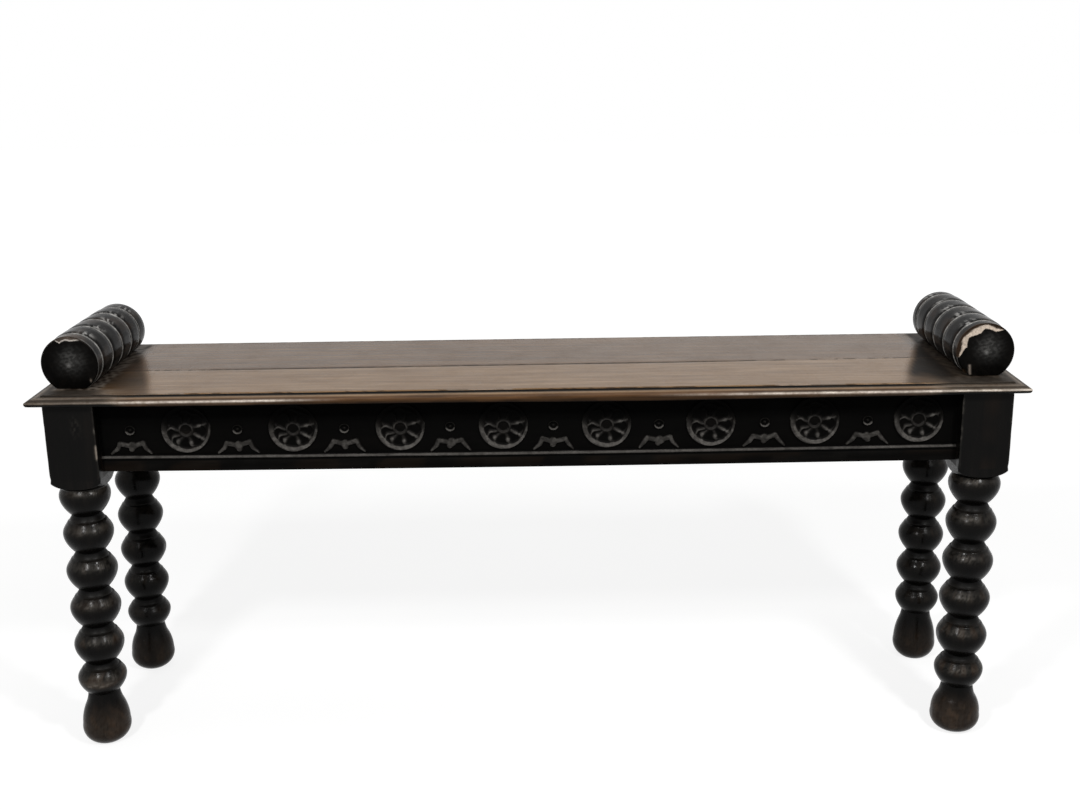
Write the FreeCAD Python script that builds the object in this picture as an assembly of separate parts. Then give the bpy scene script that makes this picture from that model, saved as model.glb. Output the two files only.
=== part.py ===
"""Hall bench: long narrow oak bench with bobbin turned legs, a carved front
rail, a moulded two-board top and a ring turned roll fixed across each end.

Millimetres. Z is up, X runs along the length, minus Y is the carved front.
The origin is on the floor, under the middle of the top.
"""
import FreeCAD, Part
import math
import os

# Driving sizes of the whole bench
LEG_SPAN_X = 1087.0          # leg axis to leg axis along the length
LEG_SPAN_Y = 210.0           # leg axis to leg axis across the depth
LEG_BLOCK = 60.0             # side of the square block at the top of a leg
BLOCK_LENGTH = 106.0         # height of that block
SEAT_THICKNESS = 12.5        # both boards of the top
SEAT_OVERHANG = 14.0         # top past the blocks at the front
END_OVERHANG = 15.5          # top past the blocks at both ends
SEAT_JOINT_SHIFT = -12.0     # joint of the two boards, measured from mid legs

# Turned part of the legs
BOBBIN_COUNT = 6
BOBBIN_PITCH = 49.0
BOBBIN_DIAMETER = 59.6
TOP_BOBBIN_HEIGHT = 35.7     # part of the top bobbin that shows under the block
NECK_DIAMETER = 37.0
FOOT_HEIGHT = 62.5           # floor to the neck above the pear foot
FOOT_DIAMETER = 57.2
FOOT_MAX_HEIGHT = 23.0       # floor to the widest ring of the foot
FOOT_BASE_DIAMETER = 37.0
SHOULDER_RISE = 12.0         # how far the block's corners are turned away
SHOULDER_GROOVE = 2.3        # depth of the line turned in between bobbin and block
SHOULDER_GROOVE_HALF = 0.8   # half its width at the mouth

# Frame rails
RAIL_HEIGHT = 86.5
RAIL_THICKNESS = 22.0
RAIL_SETBACK = 15.0          # rail face behind the block face
TENON_THICKNESS = 9.0
TENON_SHOULDER = 10.0        # rail left above and below a tenon
TENON_WALL = 2.0             # wood left between two tenons in one leg
MORTISE_CLEARANCE = 0.15
MORTISE_END_GAP = 1.0

# Bead that runs along the front rail
BEAD_HEIGHT = 17.5           # rail's bottom edge to the bead's centre
BEAD_DIAMETER = 4.2
BEAD_GROOVE = 2.0

# Moulding on the front and ends of the top
QUIRK_INSET = 15.0
QUIRK_DROP = 1.3
NOSE_DROP = 5.0
NOSE_LAND = 2.2
NOSE_TURN = 1.2              # how far the nose draws in above the bevel
BEVEL_START = 9.2
BEVEL_INSET = 12.0

# Loose tongue in the joint of the two boards
TONGUE_THICKNESS = 4.0
TONGUE_WIDTH = 18.0
TONGUE_END_INSET = 60.0
TONGUE_CLEARANCE = 0.1
TONGUE_SIDE_GAP = 0.5

# Rolls across the ends of the top
ROLL_DIAMETER = 69.0         # over the collars and the edges of the bands
ROLL_LENGTH = 206.0
ROLL_OUTSET = 3.5            # roll axis past the leg axis
ROLL_SWELL = 1.0             # rise of a wide band in its middle
ROLL_FLAT_DEPTH = 5.0        # height planed off so that the roll sits flat
ROLL_BAND_COUNT = 4          # wide bands between the two end collars
ROLL_COLLAR = 19.0
ROLL_GROOVE_DEPTH = 2.2
ROLL_GROOVE_WALL = 1.6       # half width of the steep part of a groove
ROLL_EDGE_DROP = 0.5         # fall of a band's eased edge
ROLL_EDGE_WIDTH = 3.4
ROLL_RIM = 1.6               # chamfer round each end
ROLL_DOME = 2.0

# Glue blocks under the top
GLUE_BLOCK_SIDE = 18.0
GLUE_BLOCK_LENGTH = 60.0
GLUE_BLOCK_INSET = 165.0     # leg block to the middle of an outer glue block

# Square cut nails, driven upwards
NAIL_ROOT = 4.0              # side of the shank under the head
NAIL_TIP = 2.2
NAIL_HEAD = 8.0
NAIL_HEAD_HEIGHT = 1.8
NAIL_CLEARANCE = 0.1
SEAT_NAIL_COVER = 4.5        # wood left between a nail's tip and the top
ROLL_NAIL_HOLD = 28.0        # length of nail inside a roll
ROLL_NAIL_SPACING = 120.0
ROLL_NAIL_RAIL_GAP = 1.0     # nail head to the face of the end rail

CUT_MARGIN = 1.0             # how far a cutting box stands past the wood

# Positions that follow from the sizes above
HALF_BLOCK = LEG_BLOCK / 2.0
LEG_X = LEG_SPAN_X / 2.0
LEG_MID_Y = SEAT_OVERHANG / 2.0
FRONT_LEG_Y = LEG_MID_Y - LEG_SPAN_Y / 2.0
BACK_LEG_Y = LEG_MID_Y + LEG_SPAN_Y / 2.0
TOP_BOBBIN_LOW = FOOT_HEIGHT + (BOBBIN_COUNT - 1) * BOBBIN_PITCH
BLOCK_BOTTOM = TOP_BOBBIN_LOW + TOP_BOBBIN_HEIGHT + SHOULDER_GROOVE_HALF
LEG_HEIGHT = BLOCK_BOTTOM + BLOCK_LENGTH
SEAT_TOP = LEG_HEIGHT + SEAT_THICKNESS
SEAT_HALF_X = LEG_X + HALF_BLOCK + END_OVERHANG
SEAT_HALF_Y = (LEG_SPAN_Y + LEG_BLOCK + SEAT_OVERHANG) / 2.0
SEAT_JOINT_Y = LEG_MID_Y + SEAT_JOINT_SHIFT
RAIL_AXIS_SHIFT = HALF_BLOCK - RAIL_SETBACK - RAIL_THICKNESS / 2.0
FRONT_RAIL_Y = FRONT_LEG_Y - RAIL_AXIS_SHIFT
BACK_RAIL_Y = BACK_LEG_Y + RAIL_AXIS_SHIFT
END_RAIL_X = LEG_X + RAIL_AXIS_SHIFT
RAIL_BOTTOM = LEG_HEIGHT - RAIL_HEIGHT
TENON_LENGTH = HALF_BLOCK + RAIL_AXIS_SHIFT - TENON_THICKNESS / 2.0 - TENON_WALL
ROLL_X = LEG_X + ROLL_OUTSET
ROLL_AXIS_Z = SEAT_TOP + ROLL_DIAMETER / 2.0 - ROLL_FLAT_DEPTH
SEAT_NAIL_LENGTH = GLUE_BLOCK_SIDE + SEAT_THICKNESS - SEAT_NAIL_COVER
ROLL_NAIL_LENGTH = SEAT_THICKNESS + ROLL_NAIL_HOLD


def vec(x, y, z):
    """Short name for a point."""
    return FreeCAD.Vector(x, y, z)


def box(x0, x1, y0, y1, z0, z1):
    """Box between two corners given axis by axis."""
    return Part.makeBox(x1 - x0, y1 - y0, z1 - z0, vec(x0, y0, z0))


def arc(start, middle, end):
    """Edge on a circle through three points."""
    return Part.Arc(start, middle, end).toShape()


def line(start, end):
    """Straight edge."""
    return Part.makeLine(start, end)


def revolve_profile(edges):
    """Solid of revolution about Z from edges in the XZ plane."""
    wire = Part.Wire(edges)
    face = Part.Face(wire)
    return face.revolve(vec(0, 0, 0), vec(0, 0, 1), 360)


def one_solid(shape):
    """The single solid of a boolean's result, with merged faces."""
    return shape.removeSplitter().Solids[0]


def bobbin_radius(rise):
    """Radius of a bobbin at a height above its lower neck."""
    neck = NECK_DIAMETER / 2.0
    swell = BOBBIN_DIAMETER / 2.0 - neck
    half = BOBBIN_PITCH / 2.0
    curve = (half * half + swell * swell) / (2.0 * swell)
    away = rise - half
    return neck + swell - curve + math.sqrt(curve * curve - away * away)


def shoulder_core():
    """Radius at the bottom of the line turned in under the block."""
    return bobbin_radius(TOP_BOBBIN_HEIGHT) - SHOULDER_GROOVE


def turned_edges():
    """Right side outline of the foot and bobbins, from the floor upwards."""
    neck = NECK_DIAMETER / 2.0
    wide = FOOT_DIAMETER / 2.0
    base = FOOT_BASE_DIAMETER / 2.0
    half = BOBBIN_PITCH / 2.0
    rise = FOOT_HEIGHT - FOOT_MAX_HEIGHT
    edges = []
    foot_low = vec(base, 0, 0)
    foot_side = vec(wide, 0, FOOT_MAX_HEIGHT)
    low_middle = vec(base + (wide - base) * 0.74, 0, FOOT_MAX_HEIGHT * 0.36)
    edges.append(line(vec(0, 0, 0), foot_low))
    edges.append(arc(foot_low, low_middle, foot_side))
    turn = vec(neck + (wide - neck) * 0.36, 0, FOOT_MAX_HEIGHT + rise * 0.62)
    upper = vec(neck + (wide - neck) * 0.86, 0, FOOT_MAX_HEIGHT + rise * 0.31)
    hollow = vec(neck + (wide - neck) * 0.10, 0, FOOT_MAX_HEIGHT + rise * 0.82)
    top = vec(neck, 0, FOOT_HEIGHT)
    edges.append(arc(foot_side, upper, turn))
    edges.append(arc(turn, hollow, top))
    for index in range(BOBBIN_COUNT):
        low = FOOT_HEIGHT + index * BOBBIN_PITCH
        shown = BOBBIN_PITCH
        if index == BOBBIN_COUNT - 1:
            shown = TOP_BOBBIN_HEIGHT
        below = vec(neck, 0, low)
        widest = vec(BOBBIN_DIAMETER / 2.0, 0, low + half)
        above = vec(bobbin_radius(shown), 0, low + shown)
        edges.append(arc(below, widest, above))
    edges.append(line(above, vec(shoulder_core(), 0, BLOCK_BOTTOM)))
    return edges


def make_turning():
    """Foot and bobbins as one solid on the Z axis."""
    edges = turned_edges()
    edges.append(line(vec(shoulder_core(), 0, BLOCK_BOTTOM), vec(0, 0, BLOCK_BOTTOM)))
    edges.append(line(vec(0, 0, BLOCK_BOTTOM), vec(0, 0, 0)))
    return revolve_profile(edges)


def make_block():
    """Square block whose lower corners are turned away."""
    core = shoulder_core()
    corner = math.hypot(HALF_BLOCK, HALF_BLOCK) * 1.02
    inner = core + SHOULDER_GROOVE
    edges = [line(vec(0, 0, BLOCK_BOTTOM), vec(core, 0, BLOCK_BOTTOM))]
    lip = vec(inner, 0, BLOCK_BOTTOM + SHOULDER_GROOVE_HALF)
    bend = inner + (corner - inner) * 0.62
    middle = vec(bend, 0, BLOCK_BOTTOM + SHOULDER_RISE * 0.42)
    outer = vec(corner, 0, BLOCK_BOTTOM + SHOULDER_RISE)
    edges.append(line(vec(core, 0, BLOCK_BOTTOM), lip))
    edges.append(arc(lip, middle, outer))
    edges.append(line(outer, vec(corner, 0, LEG_HEIGHT)))
    edges.append(line(vec(corner, 0, LEG_HEIGHT), vec(0, 0, LEG_HEIGHT)))
    edges.append(line(vec(0, 0, LEG_HEIGHT), vec(0, 0, BLOCK_BOTTOM)))
    turned = revolve_profile(edges)
    half = HALF_BLOCK
    square = box(-half, half, -half, half, BLOCK_BOTTOM, LEG_HEIGHT)
    return turned.common(square)


def tenon_box(side, grow, extra):
    """Tenon or mortise on one inner side of a leg at its own axis.

    side is a pair: the axis letter and the sign of the rail's direction.
    """
    axis, sign, shift = side
    half = TENON_THICKNESS / 2.0 + grow
    low = RAIL_BOTTOM + TENON_SHOULDER - grow
    high = LEG_HEIGHT - TENON_SHOULDER + grow
    near = sign * HALF_BLOCK
    far = sign * (HALF_BLOCK - TENON_LENGTH - extra)
    a0 = min(near, far)
    a1 = max(near, far)
    b0 = shift - half
    b1 = shift + half
    if axis == "x":
        return box(a0, a1, b0, b1, low, high)
    return box(b0, b1, a0, a1, low, high)


def make_leg(blank, side_x, side_y):
    """Leg on its own axis with mortises, then moved to its corner."""
    along = ("x", -side_x, side_y * RAIL_AXIS_SHIFT)
    across = ("y", -side_y, side_x * RAIL_AXIS_SHIFT)
    leg = blank.cut(tenon_box(along, MORTISE_CLEARANCE, MORTISE_END_GAP))
    leg = leg.cut(tenon_box(across, MORTISE_CLEARANCE, MORTISE_END_GAP))
    leg_y = FRONT_LEG_Y if side_y < 0 else BACK_LEG_Y
    leg = one_solid(leg)
    leg.translate(vec(side_x * LEG_X, leg_y, 0))
    return leg


def front_rail_section():
    """End view of the front rail, with its bead, as a face at X = 0."""
    face_y = FRONT_RAIL_Y - RAIL_THICKNESS / 2.0
    back_y = FRONT_RAIL_Y + RAIL_THICKNESS / 2.0
    radius = BEAD_DIAMETER / 2.0
    centre = RAIL_BOTTOM + BEAD_HEIGHT
    deep = face_y + radius
    low = centre - radius
    high = centre + radius
    points = [
        vec(0, back_y, RAIL_BOTTOM),
        vec(0, face_y, RAIL_BOTTOM),
        vec(0, face_y, low - BEAD_GROOVE),
        vec(0, deep, low - BEAD_GROOVE / 2.0),
        vec(0, deep, low),
    ]
    upper = [
        vec(0, deep, high),
        vec(0, face_y, high + BEAD_GROOVE),
        vec(0, face_y, LEG_HEIGHT),
        vec(0, back_y, LEG_HEIGHT),
        vec(0, back_y, RAIL_BOTTOM),
    ]
    edges = []
    for start, end in zip(points, points[1:]):
        edges.append(line(start, end))
    edges.append(arc(points[-1], vec(0, face_y, centre), upper[0]))
    for start, end in zip(upper, upper[1:]):
        edges.append(line(start, end))
    return Part.Face(Part.Wire(edges))


def make_long_rail(side_y):
    """Front or back rail with a tenon on each end."""
    half = LEG_X - HALF_BLOCK
    middle = FRONT_RAIL_Y if side_y < 0 else BACK_RAIL_Y
    if side_y < 0:
        section = front_rail_section()
        section.translate(vec(-half, 0, 0))
        rail = section.extrude(vec(2.0 * half, 0, 0))
    else:
        y0 = middle - RAIL_THICKNESS / 2.0
        y1 = middle + RAIL_THICKNESS / 2.0
        rail = box(-half, half, y0, y1, RAIL_BOTTOM, LEG_HEIGHT)
    reach = half + TENON_LENGTH
    t0 = middle - TENON_THICKNESS / 2.0
    t1 = middle + TENON_THICKNESS / 2.0
    low = RAIL_BOTTOM + TENON_SHOULDER
    high = LEG_HEIGHT - TENON_SHOULDER
    return one_solid(rail.fuse(box(-reach, reach, t0, t1, low, high)))


def make_end_rail(side_x):
    """Rail across one end, with a tenon on each end."""
    y0 = FRONT_LEG_Y + HALF_BLOCK
    y1 = BACK_LEG_Y - HALF_BLOCK
    middle = side_x * END_RAIL_X
    half = RAIL_THICKNESS / 2.0
    rail = box(middle - half, middle + half, y0, y1, RAIL_BOTTOM, LEG_HEIGHT)
    thick = TENON_THICKNESS / 2.0
    low = RAIL_BOTTOM + TENON_SHOULDER
    high = LEG_HEIGHT - TENON_SHOULDER
    t0 = y0 - TENON_LENGTH
    t1 = y1 + TENON_LENGTH
    tenons = box(middle - thick, middle + thick, t0, t1, low, high)
    return one_solid(rail.fuse(tenons))


def edge_outline(place):
    """Moulded edge from the quirk down to the underside.

    place turns an inset from the nose and a drop from the top into a point.
    """
    ovolo_mid = place(QUIRK_INSET * 0.45, QUIRK_DROP + (NOSE_DROP - QUIRK_DROP) * 0.22)
    low_nose = NOSE_DROP + NOSE_LAND
    return [
        line(place(QUIRK_INSET, 0.0), place(QUIRK_INSET, QUIRK_DROP)),
        arc(place(QUIRK_INSET, QUIRK_DROP), ovolo_mid, place(0.0, NOSE_DROP)),
        line(place(0.0, NOSE_DROP), place(0.0, low_nose)),
        line(place(0.0, low_nose), place(NOSE_TURN, BEVEL_START)),
        line(place(NOSE_TURN, BEVEL_START), place(BEVEL_INSET, SEAT_THICKNESS)),
    ]


def make_top_blank():
    """Whole top with its moulding mitred round the two front corners."""
    def front(inset, drop):
        return vec(0, -SEAT_HALF_Y + inset, SEAT_TOP - drop)

    def left(inset, drop):
        return vec(-SEAT_HALF_X + inset, 0, SEAT_TOP - drop)

    def right(inset, drop):
        return vec(SEAT_HALF_X - inset, 0, SEAT_TOP - drop)

    edges = edge_outline(front)
    back_low = vec(0, SEAT_HALF_Y, LEG_HEIGHT)
    back_high = vec(0, SEAT_HALF_Y, SEAT_TOP)
    edges.append(line(front(BEVEL_INSET, SEAT_THICKNESS), back_low))
    edges.append(line(back_low, back_high))
    edges.append(line(back_high, front(QUIRK_INSET, 0.0)))
    across = Part.Face(Part.Wire(edges))
    across.translate(vec(-SEAT_HALF_X, 0, 0))
    lengthwise = across.extrude(vec(2.0 * SEAT_HALF_X, 0, 0))

    edges = edge_outline(left)
    low = SEAT_THICKNESS
    edges.append(line(left(BEVEL_INSET, low), right(BEVEL_INSET, low)))
    edges.extend(reversed(edge_outline(right)))
    edges.append(line(right(QUIRK_INSET, 0.0), left(QUIRK_INSET, 0.0)))
    along = Part.Face(Part.Wire(Part.__sortEdges__(edges)))
    along.translate(vec(0, -SEAT_HALF_Y, 0))
    depthwise = along.extrude(vec(0, 2.0 * SEAT_HALF_Y, 0))
    return lengthwise.common(depthwise)


def tongue_box(grow, side_gap):
    """Loose tongue, or the grooves that take it."""
    half = SEAT_HALF_X - TONGUE_END_INSET + side_gap
    middle = SEAT_TOP - SEAT_THICKNESS / 2.0
    thick = TONGUE_THICKNESS / 2.0 + grow
    wide = TONGUE_WIDTH / 2.0 + side_gap
    y0 = SEAT_JOINT_Y - wide
    y1 = SEAT_JOINT_Y + wide
    return box(-half, half, y0, y1, middle - thick, middle + thick)


def roll_outline():
    """Outline of a roll from end to end, as radius and place along it."""
    radius = ROLL_DIAMETER / 2.0
    groove = radius - ROLL_GROOVE_DEPTH
    eased = radius - ROLL_EDGE_DROP
    half = ROLL_LENGTH / 2.0
    span = ROLL_LENGTH - 2.0 * ROLL_COLLAR
    band = span / ROLL_BAND_COUNT
    rim = radius - ROLL_RIM
    outline = [(rim, -half + ROLL_DOME), (radius, -half + ROLL_DOME + ROLL_RIM)]
    for index in range(ROLL_BAND_COUNT + 1):
        line_at = -half + ROLL_COLLAR + index * band
        outline.append((radius, line_at - ROLL_GROOVE_WALL - ROLL_EDGE_WIDTH))
        outline.append((eased, line_at - ROLL_GROOVE_WALL))
        outline.append((groove, line_at))
        outline.append((eased, line_at + ROLL_GROOVE_WALL))
        outline.append((radius, line_at + ROLL_GROOVE_WALL + ROLL_EDGE_WIDTH))
    outline.append((radius, half - ROLL_DOME - ROLL_RIM))
    outline.append((rim, half - ROLL_DOME))
    return outline


def make_roll(side_x):
    """Ring turned roll along Y, planed flat where it meets the top."""
    radius = ROLL_DIAMETER / 2.0
    half = ROLL_LENGTH / 2.0
    points = [vec(r, 0, z) for r, z in roll_outline()]
    edges = []
    for start, end in zip(points, points[1:]):
        if end.z - start.z > ROLL_COLLAR:
            crown = vec(radius + ROLL_SWELL, 0, (start.z + end.z) / 2.0)
            edges.append(arc(start, crown, end))
        else:
            edges.append(line(start, end))
    edges.append(line(points[-1], vec(0, 0, half)))
    edges.append(line(vec(0, 0, half), vec(0, 0, -half)))
    edges.append(line(vec(0, 0, -half), points[0]))
    roll = revolve_profile(edges)
    roll.rotate(vec(0, 0, 0), vec(1, 0, 0), 90)
    roll.translate(vec(side_x * ROLL_X, LEG_MID_Y, ROLL_AXIS_Z))
    cutter_low = ROLL_AXIS_Z - 2.0 * radius
    x0 = side_x * ROLL_X - 2.0 * radius
    x1 = side_x * ROLL_X + 2.0 * radius
    y0 = LEG_MID_Y - ROLL_LENGTH
    y1 = LEG_MID_Y + ROLL_LENGTH
    flat = box(x0, x1, y0, y1, cutter_low, SEAT_TOP)
    return one_solid(roll.cut(flat))


def square_wire(side, z):
    """Closed square about the Z axis at one height."""
    half = side / 2.0
    corners = [
        vec(-half, -half, z),
        vec(half, -half, z),
        vec(half, half, z),
        vec(-half, half, z),
        vec(-half, -half, z),
    ]
    return Part.makePolygon(corners)


def make_nail(x, y, z, length):
    """Square cut nail pointing up, its head against the face at height z."""
    shank = Part.makeLoft([square_wire(NAIL_ROOT, 0.0), square_wire(NAIL_TIP, length)], True, True)
    half = NAIL_HEAD / 2.0
    head = box(-half, half, -half, half, -NAIL_HEAD_HEIGHT, 0.0)
    nail = one_solid(shank.fuse(head))
    nail.translate(vec(x, y, z))
    return nail


def nail_hole(x, y, z, length):
    """Tapered hole that takes the shank of a nail with clearance."""
    grow = 2.0 * NAIL_CLEARANCE
    low = square_wire(NAIL_ROOT + grow, 0.0)
    high = square_wire(NAIL_TIP + grow, length + NAIL_CLEARANCE)
    hole = Part.makeLoft([low, high], True, True)
    hole.translate(vec(x, y, z))
    return hole


def glue_block_places():
    """Name and corner limits in X and Y of every glue block."""
    side = GLUE_BLOCK_SIDE
    half = GLUE_BLOCK_LENGTH / 2.0
    front = FRONT_RAIL_Y + RAIL_THICKNESS / 2.0
    back = BACK_RAIL_Y - RAIL_THICKNESS / 2.0
    inner = END_RAIL_X - RAIL_THICKNESS / 2.0
    places = []
    spread = LEG_X - HALF_BLOCK - GLUE_BLOCK_INSET
    for name, x in (("left", -spread), ("middle", 0.0), ("right", spread)):
        places.append(("glue_block_front_" + name, x - half, x + half, front, front + side))
        places.append(("glue_block_back_" + name, x - half, x + half, back - side, back))
    y0 = LEG_MID_Y - half
    y1 = LEG_MID_Y + half
    places.append(("glue_block_left_end", -inner, -inner + side, y0, y1))
    places.append(("glue_block_right_end", inner - side, inner, y0, y1))
    return places


def roll_nail_places(side_x):
    """Nail positions under one roll, just inside the end rail."""
    inner = END_RAIL_X - RAIL_THICKNESS / 2.0
    x = side_x * (inner - ROLL_NAIL_RAIL_GAP - NAIL_HEAD / 2.0)
    y = ROLL_NAIL_SPACING / 2.0
    return [(x, LEG_MID_Y - y), (x, LEG_MID_Y + y)]


def build():
    """Every piece of the bench by name."""
    parts = {}
    blank = make_turning().fuse(make_block()).removeSplitter()
    for name, side_x, side_y in (
        ("leg_front_left", -1, -1),
        ("leg_front_right", 1, -1),
        ("leg_back_left", -1, 1),
        ("leg_back_right", 1, 1),
    ):
        parts[name] = make_leg(blank, side_x, side_y)
    parts["front_rail"] = make_long_rail(-1)
    parts["back_rail"] = make_long_rail(1)
    parts["left_end_rail"] = make_end_rail(-1)
    parts["right_end_rail"] = make_end_rail(1)

    holes = []
    seat_nails = []
    for name, x0, x1, y0, y1 in glue_block_places():
        x = (x0 + x1) / 2.0
        y = (y0 + y1) / 2.0
        z = LEG_HEIGHT - GLUE_BLOCK_SIDE
        hole = nail_hole(x, y, z, SEAT_NAIL_LENGTH)
        holes.append(hole)
        seat_nails.append(make_nail(x, y, z, SEAT_NAIL_LENGTH))
        block = box(x0, x1, y0, y1, z, LEG_HEIGHT)
        parts[name] = one_solid(block.cut(hole))
    parts["seat_nails"] = Part.makeCompound(seat_nails)

    for side_name, side_x in (("left", -1), ("right", 1)):
        nails = []
        roll = make_roll(side_x)
        for x, y in roll_nail_places(side_x):
            hole = nail_hole(x, y, LEG_HEIGHT, ROLL_NAIL_LENGTH)
            holes.append(hole)
            roll = roll.cut(hole)
            nails.append(make_nail(x, y, LEG_HEIGHT, ROLL_NAIL_LENGTH))
        parts[side_name + "_roll"] = one_solid(roll)
        parts[side_name + "_roll_nails"] = Part.makeCompound(nails)

    top = make_top_blank()
    for hole in holes:
        top = top.cut(hole)
    top = top.cut(tongue_box(TONGUE_CLEARANCE, TONGUE_SIDE_GAP))
    reach_x = SEAT_HALF_X + CUT_MARGIN
    reach_y = SEAT_HALF_Y + CUT_MARGIN
    z0 = LEG_HEIGHT - CUT_MARGIN
    z1 = SEAT_TOP + CUT_MARGIN
    front_half = box(-reach_x, reach_x, -reach_y, SEAT_JOINT_Y, z0, z1)
    back_half = box(-reach_x, reach_x, SEAT_JOINT_Y, reach_y, z0, z1)
    parts["seat_front_board"] = one_solid(top.common(front_half))
    parts["seat_back_board"] = one_solid(top.common(back_half))
    parts["seat_tongue"] = tongue_box(0.0, 0.0)
    return parts


os.makedirs("parts", exist_ok=True)
for part_name, part_shape in build().items():
    part_shape.exportStep("parts/" + part_name + ".step")
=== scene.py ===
"""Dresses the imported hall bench: bobbin turned legs, carved front rail, moulded top, end rolls."""
import logging
import math
from dataclasses import dataclass, field, replace
from enum import Enum
from typing import Optional, Union

import bmesh
import bpy
import numpy as np
from mathutils import Matrix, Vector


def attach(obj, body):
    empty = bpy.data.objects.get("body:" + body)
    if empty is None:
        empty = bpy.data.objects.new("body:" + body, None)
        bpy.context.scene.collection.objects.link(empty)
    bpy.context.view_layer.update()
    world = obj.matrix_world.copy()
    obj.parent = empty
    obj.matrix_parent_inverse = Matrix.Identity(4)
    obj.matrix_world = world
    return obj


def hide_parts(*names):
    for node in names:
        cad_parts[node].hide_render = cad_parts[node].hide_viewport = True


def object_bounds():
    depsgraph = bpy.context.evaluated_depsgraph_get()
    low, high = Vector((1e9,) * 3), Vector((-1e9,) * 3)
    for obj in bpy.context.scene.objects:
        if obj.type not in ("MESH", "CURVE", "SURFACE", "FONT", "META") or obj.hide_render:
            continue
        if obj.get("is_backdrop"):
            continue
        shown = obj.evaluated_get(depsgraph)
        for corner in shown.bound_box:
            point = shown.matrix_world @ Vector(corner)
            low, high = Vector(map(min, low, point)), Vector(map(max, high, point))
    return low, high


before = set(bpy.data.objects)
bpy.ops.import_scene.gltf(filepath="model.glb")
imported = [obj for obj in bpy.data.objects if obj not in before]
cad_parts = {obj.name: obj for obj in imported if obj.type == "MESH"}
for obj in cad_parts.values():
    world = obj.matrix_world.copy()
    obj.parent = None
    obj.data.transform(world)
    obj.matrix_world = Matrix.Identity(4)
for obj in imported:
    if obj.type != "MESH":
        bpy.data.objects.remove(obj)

LOG = logging.getLogger("hall_bench")
MM = 0.001
TAU = 2.0 * math.pi
BODY = "root"
WHITE = (1.0, 1.0, 1.0, 1.0)
CORNERS = TAU / 8 + np.arange(4) * TAU / 4
Array = np.ndarray
Colour = tuple[float, float, float]
Point = tuple[float, float]
Socket = bpy.types.NodeSocket
Value = Union[Socket, float, tuple[float, ...]]


# Shape functions

def smooth(value: Array, low: float, high: float) -> Array:
    """Rises from 0 at low to 1 at high along 3t^2 - 2t^3."""
    t = np.clip((np.asarray(value, float) - low) / (high - low), 0.0, 1.0)
    return t * t * (3.0 - 2.0 * t)


def bell(value: Array, centre: float, width: float) -> Array:
    """A bell curve of height 1: e to the power of minus the square of the distance over width."""
    return np.exp(-((np.asarray(value, float) - centre) / width) ** 2)


def waver(value: Array, seed: int, span: float) -> Array:
    """The slow unevenness of hand work, about -1 to 1, repeating every span.

    The sum of five sines with 1 to 5 waves in the span, each of a random phase, the
    k-th one divided by k, and the whole by 1.6.

    Args:
        value: places along the piece.
        seed: picks the phases.
        span: length after which the sum repeats.
    Returns:
        The sum at each place.
    """
    phase = np.random.default_rng(seed).uniform(0.0, TAU, 5)
    count = np.arange(1, 6)
    angle = np.asarray(value, float)[..., None] * TAU / span * count + phase
    return (np.sin(angle) / count).sum(-1) / 1.6


def patches(u: Array, v: Array, seed: int, amount: float = 0.35) -> Array:
    """Irregular worn spots, 0 to 1, on two coordinates measured in spot sizes.

    The sum of eight sines that run in random directions, over 2.6, cut off below a level.

    Args:
        u: first coordinate, in spot sizes.
        v: second coordinate, in spot sizes.
        seed: picks the directions and phases.
        amount: level above which a spot shows.
    Returns:
        The strength of the spots at each point.
    """
    rng = np.random.default_rng(seed)
    turn, phase, size = rng.uniform(0, TAU, 8), rng.uniform(0, TAU, 8), rng.uniform(0.6, 2.2, 8)
    run = np.asarray(u, float)[..., None] * np.cos(turn) + np.asarray(v, float)[..., None] * np.sin(turn)
    return smooth(np.sin(run * size * TAU / 2.0 + phase).sum(-1) / 2.6, amount, amount + 0.35)


def arc(start: Point, middle: Point, end: Point, count: int) -> Array:
    """Points of the circle through three points, from the first to the last.

    The centre is where the perpendicular bisectors of the two chords meet, and the points
    divide the angle that the arc takes up evenly.

    Args:
        start: first point.
        middle: a point between.
        end: last point.
        count: number of points.
    Returns:
        An array of count points.
    """
    (ax, ay), (bx, by), (cx, cy) = start, middle, end
    twice = 2.0 * (ax * (by - cy) + bx * (cy - ay) + cx * (ay - by))
    aa, bb, cc = ax * ax + ay * ay, bx * bx + by * by, cx * cx + cy * cy
    ux = (aa * (by - cy) + bb * (cy - ay) + cc * (ay - by)) / twice
    uy = (aa * (cx - bx) + bb * (ax - cx) + cc * (bx - ax)) / twice
    turns = np.unwrap([math.atan2(y - uy, x - ux) for x, y in (start, middle, end)])
    angle = np.linspace(turns[0], turns[-1], count)
    radius = math.hypot(ax - ux, ay - uy)
    return np.stack([ux + radius * np.cos(angle), uy + radius * np.sin(angle)], -1)


# Meshes

def stand(name: str, data: bpy.types.ID) -> bpy.types.Object:
    """Makes an object of a mesh, lamp or camera and puts it in the scene.

    Args:
        name: the object's name.
        data: the mesh, lamp or camera.
    Returns:
        The object.
    """
    thing = bpy.data.objects.new(name, data)
    bpy.context.scene.collection.objects.link(thing)
    return thing


def stance(place: tuple[float, ...], right: Array, up: Array, back: Array) -> Matrix:
    """The matrix of an object at a place whose x, y and z axes are right, up and back."""
    turn = Matrix(np.stack([right, up, back], 1).tolist()).to_4x4()
    return Matrix.Translation(place) @ turn


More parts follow.
